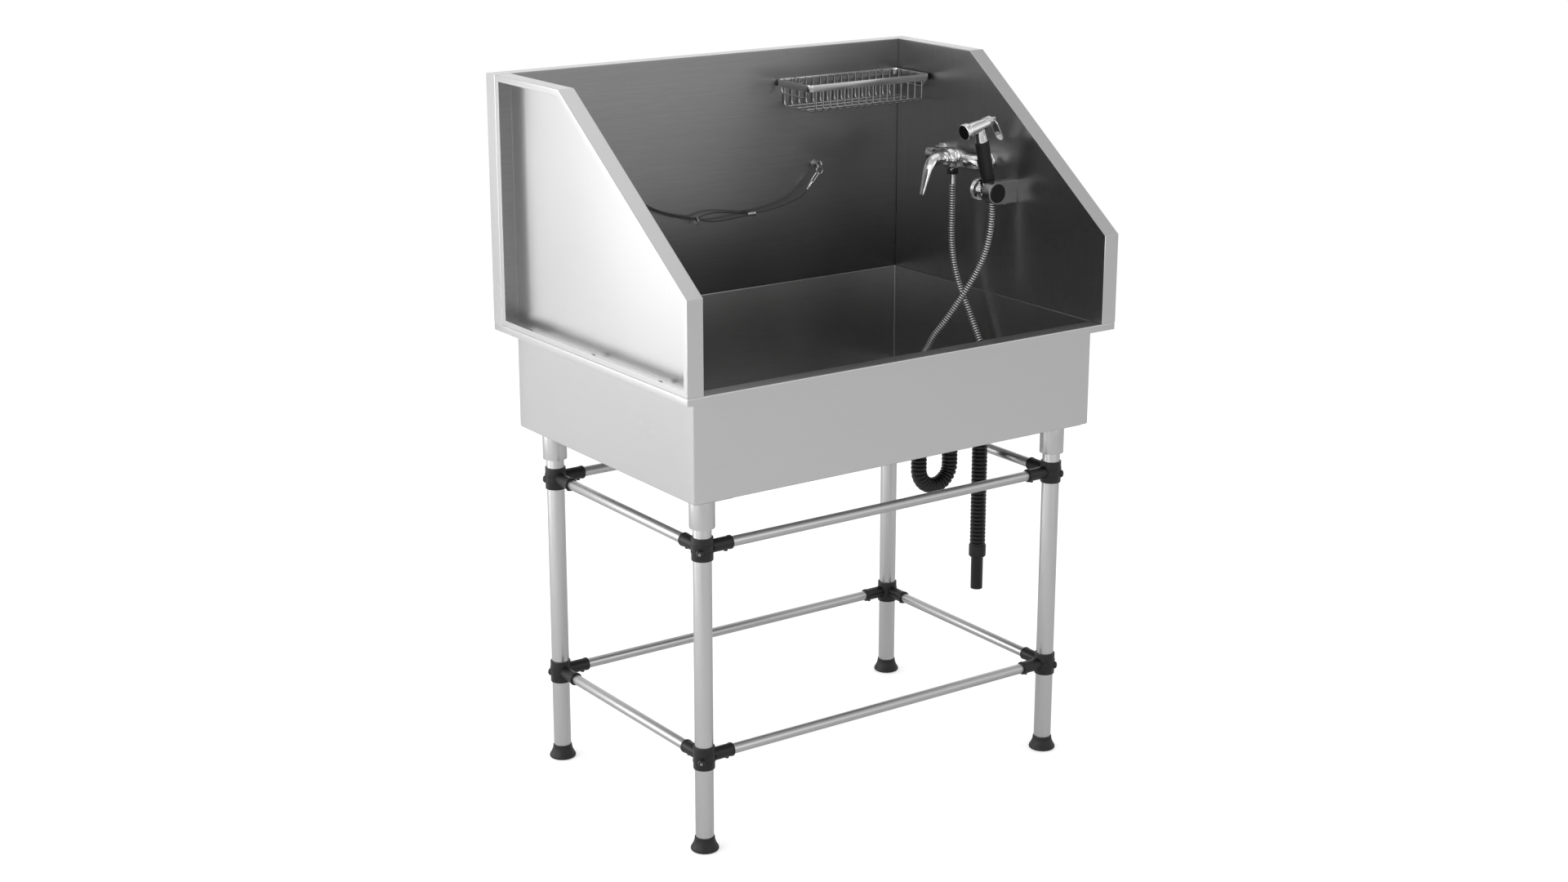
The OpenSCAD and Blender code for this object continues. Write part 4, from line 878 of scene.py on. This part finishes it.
# %% Mixer body
MX, MY, MZ = 429.5, 80.0, 1183.0
PIVOT = np.array([412.0, 80.0, 1183.0])


def swell(y):
    """Radius of the bar at a distance y from its middle: 21 over the middle 20 mm, then falling as a raised
    cosine to 15.6 at 46 mm."""
    return 15.6 + 5.4 * (0.5 + 0.5 * np.cos(np.pi * np.clip((np.abs(y) - 10) / 36, 0, 1)))


ys = np.linspace(-60, 60, 61)
bar = lathe(np.stack([swell(ys), ys], -1), (MX, MY, MZ), (0, 1, 0), 64)
# the swollen middle is cut flat behind the lever's cap, and a bonnet closes the gap round the cap
bar[..., 0] = np.maximum(bar[..., 0], 421.2 * MM)
bonnet = turned(
    [(15.8, 413.2), (16.6, 412.9), (18.6, 415.6), (20.6, 419.6), (21.0, 425), (15.8, 425)], 1.4,
    (0, MY, MZ), (1, 0, 0), 64, closed=True,
)
elbows = []
for s in (-1, 1):
    line = rounded([(MX, MY + s * 52, MZ), (MX, MY + s * 75, MZ), (451.6, MY + s * 75, MZ)], 17, steps=16)
    elbows.append(tube_grid(line * MM, 15.55 * MM, 40, reference=(0, 0, 1)))
outlet = turned([(10, 1154), (10, 1160), (11.4, 1168), (14, 1176)], 4, (MX, MY, 0))
piece("mixer_bar", "mixer_body", chrome, "bright", bar, *elbows, outlet, bonnet, crease=40)


# %% Nuts and wall flanges
def hex_nut(across, low, high, base, axis, bore):
    """A hexagonal nut with its corners turned off at both ends: a point at angle v and height h stands at
    the lesser of the hexagon's radius there and a cone's, which takes the corners off."""
    sides = 72
    v = np.linspace(0, 2 * math.pi, sides, endpoint=False)
    flat = across / 2 / np.cos((v + math.pi / 6) % (math.pi / 3) - math.pi / 6)
    h = np.array([low, low, low + 1.2, high - 1.2, high, high])
    top = across / 2 * 1.155
    cone = np.array([bore, across / 2 * 0.97, top, top, across / 2 * 0.97, bore])
    unit = lathe(np.stack([np.ones(6), h], -1), base, axis, sides)
    middle = lathe(np.stack([np.zeros(6), h], -1), base, axis, sides)
    return middle + (unit - middle) * np.minimum(flat[None], cone[:, None])[..., None], True


FLANGE = [
    (7.5, 451.6), (11.5, 451.6), (11.5, 461.5), (17, 461.5), (18, 463.4), (18, 465.4), (11.5, 465.4),
    (11.5, 473.5),
    (10.4, 473.5), (10.4, 488.5), (7.5, 488.5),
]
union, back_nuts, flanges = [], [], []
for y in (5, 155):
    union.append(hex_nut(28, 451.5, 461.2, (0, y, MZ), (1, 0, 0), 11.65))
    back_nuts.append(hex_nut(27, 467, 473, (0, y, MZ), (1, 0, 0), 11.65))
    flanges.append(turned(FLANGE, 0.7, (0, y, MZ), (1, 0, 0), closed=True))
piece("union_hex_nuts", "union_nuts", chrome, "bright", *union)
piece("back_hex_nuts", "connector_backnuts", plain_steel, "fastener", *back_nuts)
piece("wall_flanges", "wall_connectors", chrome, "bright", *flanges)
drop_nut = hex_nut(22, 1150, 1162, (MX, MY, 0), (0, 0, 1), 10.05)
ferrule = turned(
    [(5, 1154), (9.6, 1154), (9.6, 1149.6), (7, 1149), (7, 1128.6), (6.4, 1128), (5, 1128)], 0.6,
    (MX, MY, 0),
)
piece("hose_nut_at_mixer", "hose_mixer_nut", dark_nickel, "bright", drop_nut)
piece("hose_ferrule", None, chrome, "bright", ferrule)

# %% Lever
LEVER = [
    (6, 0.6, 9, 11), (10, 1.6, 11.4, 13), (14, 2.5, 12.2, 14.2), (21, 3, 12.3, 15), (28, 1.5, 11.8, 15.2),
    (34.5, -2, 10.9, 15), (40, -7.5, 9.8, 14.5), (44.5, -14.5, 8.5, 13.6), (48.3, -23, 7.0, 12.5),
    (51.8, -33, 5.6, 10.8), (55, -43.5, 4.5, 9.4), (58, -54, 3.6, 8), (60.8, -63, 2.9, 6.8),
    (62.6, -68.5, 2.2, 5.6), (63.4, -71, 1.1, 3.4),
]
out, up, half_up, half_deep = np.array(LEVER).T
stations = np.stack([PIVOT[0] - out, np.full_like(out, MY), MZ + up, half_up, half_deep], -1)
spine, _ = smooth_route(stations, 1.2)
horn = tube_grid(spine[:, :3] * MM, spine[:, 3] * MM, 40, reference=(0, 0, 1), flat=spine[:, 4] / spine[:, 3])
a = np.radians(np.linspace(84, -8, 24))
dome = lathe(np.stack([15.4 * np.cos(a), -15.4 * np.sin(a)], -1)[::-1], PIVOT, (1, 0, 0), 56)
piece("horn_lever", "mixer_lever", chrome, "bright", horn, dome, body="lever", crease=50)
dress(chrome, "mixer_collar", "mixer_stem")
dress(plastic_black, "mixer_cartridge", "cartridge_carrier")

# %% [markdown]
# ## The hand sprayer and its holder
#
# The sprayer leans a little in its cradle, so its parts are drawn upright in the sprayer's own frame, with
# the grip's lower end at zero, and then turned and moved together. A lathe profile there needs only its base
# and its axis in that frame.

# %% Sprayer frame
LEAN = math.radians(13.5)
GRIP_AT = np.array([420.4, -46.0, 1153.7])
UP = np.array([-math.sin(LEAN), 0, math.cos(LEAN)])
OUT = np.array([math.cos(LEAN), 0, math.sin(LEAN)])
SIDE = np.array([0.0, 1.0, 0.0])
HEAD, PIN_UP = 117.1, 122.6


def in_sprayer(x, y, z):
    """A point of the sprayer's own frame, in millimetres."""
    return GRIP_AT + x * OUT + y * SIDE + z * UP


HEAD_AT = in_sprayer(0, 0, HEAD)


# %% Sprayer body, cap, face and grip
neck = turned([(9, 2), (9, 83.4), (12.6, 83.8), (12.7, 86), (11.2, 100), (11, 112)], 2.5, GRIP_AT, UP)
barrel = turned(
    [(12.6, -27), (13.2, -24), (13.2, -14), (12.2, 0), (11.0, 18), (9.6, 24), (6.5, 26), (1, 26)], 3,
    HEAD_AT, OUT, 56,
)
ears = []
for s in (-1, 1):
    outline = rounded([(14, -4.2), (37.2, -4.2), (37.2, 4.2), (14, 4.2)], 4, closed=True)
    ears.append(slab(outline, 3, 0.6, in_sprayer(0, s * 7.8 - 1.5, PIN_UP), (OUT, UP, SIDE)))
piece("sprayer_shell", "sprayer_body", chrome, "bright", neck, barrel, *ears, body="sprayer", crease=40)
cap = turned(
    [
        (14.2, -38), (14.2, -40), (15.2, -40), (16.5, -38.4), (16.5, -30), (15.2, -26.4), (13, -25),
        (7, -25), (7, -37),
    ],
    0.9, HEAD_AT, OUT, 64, closed=True,
)
piece("sprayer_cap_ring", "sprayer_cap", chrome, "bright", cap, body="sprayer")
dress(face_black, "sprayer_face")
zs = np.linspace(0, 83.6, 120)
grip_r = 13.5 + zs / 83.6
grip_r -= 1.2 * np.clip(1 - np.minimum(zs, 83.6 - zs) / 1.2, 0, 1) ** 2
grip = lathe(np.stack([grip_r, zs], -1), GRIP_AT, UP, 56)
piece("rubber_grip", "sprayer_grip", rubber_black, "rubber", grip, body="sprayer")
cone = turned([(5, -36), (9, -36), (9.2, -34), (11.9, -4), (12, -0.4), (5, -0.4)], 0.8, GRIP_AT, UP, 48)
piece("cone_nut", "hose_cone_nut", chrome, "bright", cone, body="sprayer")
dress(chrome, "trigger_pin")

# %% Trigger
TILT = LEAN + math.radians(14)
T_UP = np.array([-math.sin(TILT), 0, math.cos(TILT)])
T_OUT = np.array([math.cos(TILT), 0, math.sin(TILT)])
PIN = in_sprayer(33, 0, PIN_UP)
TRIGGER_AT = PIN + 1.2 * T_OUT, (SIDE, T_UP, T_OUT)
plate = rounded(
    [(-10.5, -52), (10.5, -52), (10.5, -12), (6.2, -5), (-6.2, -5), (-10.5, -12)], [7, 7, 3, 2, 2, 3],
    closed=True,
)
barrel_pin = turned([(1.5, -6), (3.8, -6), (3.8, 6), (1.5, 6)], 0.4, PIN, SIDE, 28, closed=True)
web = slab([(-6, -9), (6, -9), (6, -0.5), (-6, -0.5)], 2.6, 0.4, *TRIGGER_AT)
piece(
    "flat_trigger", "sprayer_trigger", chrome, "bright", slab(plate, 2.6, 0.7, *TRIGGER_AT), web,
    barrel_pin, body="trigger",
)

# %% [markdown]
# The holder is a D-shaped block bolted to the wall, brushed on its face, with a black disc let into it. The
# cradle beside it is a split sleeve that the cone nut drops into, and a ringed knob clamps them together.

# %% Holder
HX, HZ, HY = 414.5, 1135.0, -83.9
arc = np.radians(np.linspace(90, 270, 33))
d_shape = np.vstack(
    [np.stack([HX + 23 * np.cos(arc), HZ + 23 * np.sin(arc)], -1), [[465.5, HZ - 23], [465.5, HZ + 23]]]
)
block = slab(d_shape, 22.6, 1.0, (0, HY, 0), AXES[[0, 2, 1]])
piece("holder_d_block", "holder_block", steel_x, "steel", block)
disc = turned([(0.4, -0.6), (18.6, -0.6), (19.4, 0), (19.4, 1.5), (2, 1.5)], 0.5, (HX, HY, HZ), (0, 1, 0))
piece("holder_inlay", "holder_disc", face_black, "black", disc)
knob = [
    (12, 0), (21, 0), (22, 1), (22, 4), (20.8, 4.6), (20.8, 5.4), (22, 6), (22, 9), (20.4, 10.4),
    (17.2, 10.4),
    (16.6, 11.2), (15, 13.4), (6, 13.5), (2, 13.1),
]
piece(
    "ringed_knob", "holder_knob", chrome, "bright",
    turned(knob, 0.8, (HX, -30.7, HZ), (0, 1, 0), 64, steps=3),
)
dress(chrome, "holder_cradle")

# %% [markdown]
# ## The basket
#
# The basket is a flat band with round corners, and U-shaped wires welded inside it. A wire is a polyline of
# four points with its two lower corners rounded, and a thin tube along that.

# %% Basket
B_X0, B_X1, B_Y0, B_Y1, B_TOP = 150.5, 459.5, 197.0, 314.0, 1339.5
WIRE_R = 1.5


def band_loop(inset):
    """The band's outline as a closed loop of points, at a distance inside its outer face."""
    box = [
        (B_X0 + inset, B_Y0 + inset), (B_X1 - inset, B_Y0 + inset), (B_X1 - inset, B_Y1 - inset),
        (B_X0 + inset, B_Y1 - inset),
    ]
    return rounded(box, 12 - inset, closed=True, steps=8)


band_section = rounded([(0, -14), (2, -14), (2, 0), (0, 0)], 0.5, closed=True, steps=2)
loops = np.stack([np.column_stack([band_loop(d), np.full(36, B_TOP + h)]) for d, h in band_section])
piece("basket_flat_band", "basket_band", wire_steel, "bright", (loops * MM, True))


def u_wire(x, y0, y1, low, top=B_TOP - 1):
    """A U of wire in the plane of one x."""
    line = rounded([(x, y0, top), (x, y0, low), (x, y1, low), (x, y1, top)], 12, steps=7)
    return tube_grid(line * MM, WIRE_R * MM, 10, reference=(1, 0, 0))


W_Y0, W_Y1, W_LOW, W_FIRST, W_STEP = 200.55, 310.45, 1283.0, 169.5, 18.0667
wires = [u_wire(W_FIRST + k * W_STEP, W_Y0, W_Y1, W_LOW) for k in range(16)]
wires += [u_wire(x, W_Y0 + 12, W_Y1 - 12, B_TOP - 28) for x in (B_X0 + 3.55, B_X1 - 3.55)]
for t in (0.2, 0.5, 0.8):
    y = W_Y0 + t * (W_Y1 - W_Y0)
    ends = [(W_FIRST - 8, y, W_LOW + 3.05), (W_FIRST + 15 * W_STEP + 8, y, W_LOW + 3.05)]
    wires.append(tube_grid(np.linspace(*ends, 8) * MM, WIRE_R * MM, 10, reference=(0, 0, 1)))
piece("basket_wire_cage", "basket_wires", wire_steel, "bright", *wires, crease=60)

# %% [markdown]
# ## The tether's fittings
#
# An eye bolt holds a loose ring, a snap hook pulls on the ring, and a headed post on the left takes the loop
# of the cable. All of them are turned parts, rings of wire, and one bent wire.

# %% Tether fittings
EYE_X, EYE_Z, EYE_Y = 247.0, 1156.0, 294.0
away = (0, -1, 0)
eye = [
    turned(
        [(2, 0), (8, 0), (8, 2), (2.6, 2.4), (2.5, 12.5), (1, 12.5)], 0.6, (EYE_X, WALL_Y, EYE_Z), away, 32,
    ),
    hoop((EYE_X, EYE_Y, EYE_Z), (1, 0, 0), 7, 1.8),
    turned(
        [(2, 0), (8, 0), (8, 2), (4.2, 2.6), (4, 4), (4, 23.6), (6.8, 24.4), (7, 25), (5.6, 27), (1, 27)],
        0.6, (-EYE_X, WALL_Y, EYE_Z), away, 32,
    ),
]
for x in (-EYE_X, EYE_X):
    eye.append(hex_nut(8, 315.5, 319.5, (x, 0, EYE_Z), (0, 1, 0), 2.4))
    eye.append(turned([(1, 314), (2.5, 314), (2.5, 320.4), (1.8, 320.5)], 0.2, (x, 0, EYE_Z), (0, 1, 0), 20))
piece("eye_and_post", "tether_fixings", wire_steel, "bright", *eye)
LINK_Z = 1144.1
piece("loose_ring", "tether_ring", wire_steel, "bright", hoop((EYE_X, EYE_Y, LINK_Z), away, 8, 1.2))

HOOK_LEAN = math.radians(40)
H_UP = np.array([math.sin(HOOK_LEAN), 0, math.cos(HOOK_LEAN)])
H_OUT = np.array([math.cos(HOOK_LEAN), 0, -math.sin(HOOK_LEAN)])
HOOK_AT = np.array([EYE_X, 295.0, LINK_Z]) - 40.7 * H_UP
HALF, H_TOP = 4.6, 35.4
turn = np.radians(np.linspace(0, 180, 20))
bow = np.vstack([[[HALF, 12.4]], np.stack([HALF * np.cos(turn), H_TOP - HALF + HALF * np.sin(turn)], -1)])
bow_line = (HOOK_AT + bow[:, :1] * SIDE + bow[:, 1:] * H_UP) * MM
cross_bar = (HOOK_AT + np.linspace(-HALF, HALF, 8)[:, None] * SIDE + 12 * H_UP) * MM
swivel = turned(
    [(1.4, 0), (3.2, 0), (3.2, 3.6), (2.6, 4.4), (2.6, 5), (3.2, 5.8), (3.2, 9), (2.2, 12), (1, 12)], 0.5,
    HOOK_AT, H_UP, 28,
)
piece(
    "snap_hook_bow", "snap_hook", chrome, "bright", tube_grid(bow_line, 1.4 * MM, 14, H_OUT),
    tube_grid(cross_bar, 1.9 * MM, 14, H_OUT), swivel,
)
dress(wire_steel, "snap_gate")

v = np.linspace(0, 2 * math.pi, 32, endpoint=False)
xs = np.linspace(-10, 10, 33)
pinch = 1 - 0.05 * np.exp(-((np.abs(xs) - 3.4) / 1.3) ** 2) - 0.25 * np.clip(np.abs(xs) - 9, 0, 1)
height = 2.7 * np.sin(v) + 1.6 * np.sign(np.round(np.sin(v), 9))
crimp = np.stack(
    [78 + xs[:, None] + 0 * v, 297 + 2.7 * np.cos(v) * pinch[:, None], 1070.1 + height * pinch[:, None]],
    -1,
)
end_sleeve = turned(
    [(1.4, -8), (2.2, -8), (2.2, -5.4), (1.9, -4.8), (2.2, -4.2), (2.2, 0), (1.4, 0)], 0.3, HOOK_AT, H_UP,
    24,
)
piece("crimped_sleeves", "tether_ferrules", wire_steel, "bright", crimp * MM, end_sleeve)
ring_way = (math.sin(math.radians(78)), 0, math.cos(math.radians(78)))
piece("sliding_ring", "slider_ring", wire_steel, "bright", hoop((-58, 297, 1070.8), ring_way, 8.5, 1.1))

# %% [markdown]
# ## Floor and light
#
# Polished metal is mostly a picture of the room round it, so the room is kept simple: a pale floor, a white
# surround and large soft lamps. The lamps are brighter from the left, so the left faces are lighter than the
# front ones.

# %% Floor
turn = np.linspace(0, 2 * math.pi, 64, endpoint=False)
floor_ring = np.stack([40 * np.cos(turn), 40 * np.sin(turn), np.full(64, -0.0002)], -1)
floor_mesh = bpy.data.meshes.new("floor")
floor_mesh.from_pydata(floor_ring.tolist(), [], [list(range(64))])
floor = bpy.data.objects.new("floor", floor_mesh)
bpy.context.scene.collection.objects.link(floor)
floor_material, tree, shader = empty_material("floor_white")
shader.inputs["Base Color"].default_value = (0.85, 0.85, 0.85, 1)
shader.inputs["Roughness"].default_value = 0.9
shader.inputs["Specular IOR Level"].default_value = 0.1
glow = add_node(tree, "ShaderNodeEmission")
path = add_node(tree, "ShaderNodeLightPath")
total = add_node(tree, "ShaderNodeAddShader")
link(
    tree,
    (reckon(tree, "MULTIPLY", path.outputs["Is Camera Ray"], 0.5), glow.inputs["Strength"]),
    (shader.outputs[0], total.inputs[0]),
    (glow.outputs[0], total.inputs[1]),
    (total.outputs[0], tree.nodes["Material Output"].inputs["Surface"]),
)
floor_mesh.materials.append(floor_material)
floor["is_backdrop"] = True

# %% World
world = bpy.data.worlds.new("surround")
bpy.context.scene.world = world
world.use_nodes = True
sky = world.node_tree
backing = sky.nodes["Background"]
path = add_node(sky, "ShaderNodeLightPath")
where = add_node(sky, "ShaderNodeTexCoord")
axes = add_node(sky, "ShaderNodeSeparateXYZ")
link(sky, (where.outputs["Generated"], axes.inputs[0]))
# polished metal sees a surround that is white at the horizon and darker overhead
upward = carried_to(sky, axes.outputs["Z"], (0.25, 0.95), (1.0, 0.38))
level = mixed(sky, path.outputs["Is Glossy Ray"], 0.62, upward, "FLOAT")
seen = reckon(sky, "MAXIMUM", path.outputs["Is Camera Ray"], path.outputs["Is Transmission Ray"])
backing.inputs["Color"].default_value = (1, 1, 1, 1)
link(sky, (mixed(sky, seen, level, 1.0, "FLOAT"), backing.inputs["Strength"]))
bpy.context.scene.view_settings.view_transform = "Standard"


# %% Lamps
def lamp(name, at, size, watts):
    """A square soft lamp that looks at the middle of the tub."""
    data = bpy.data.lights.new(name, "AREA")
    data.shape = "SQUARE"
    data.size = size
    data.energy = watts
    obj = bpy.data.objects.new(name, data)
    obj.location = at
    obj.rotation_euler = (Vector((0, 0, 0.8)) - Vector(at)).to_track_quat("-Z", "Y").to_euler()
    obj.visible_camera = False
    bpy.context.scene.collection.objects.link(obj)


lamp("key_left", (-3.8, -0.6, 2.0), 2.6, 45)
lamp("side_low", (-3.4, 2.4, 1.3), 2.4, 44)
lamp("front_soft", (0.6, -4.4, 2.2), 2.4, 10)
lamp("top_soft", (0.2, 0.4, 4.2), 3.0, 14)
print("lamps:", len(bpy.data.lights))

# %% Finish
low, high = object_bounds()
print("visual box:", [round(float(v), 4) for v in low], [round(float(v), 4) for v in high])
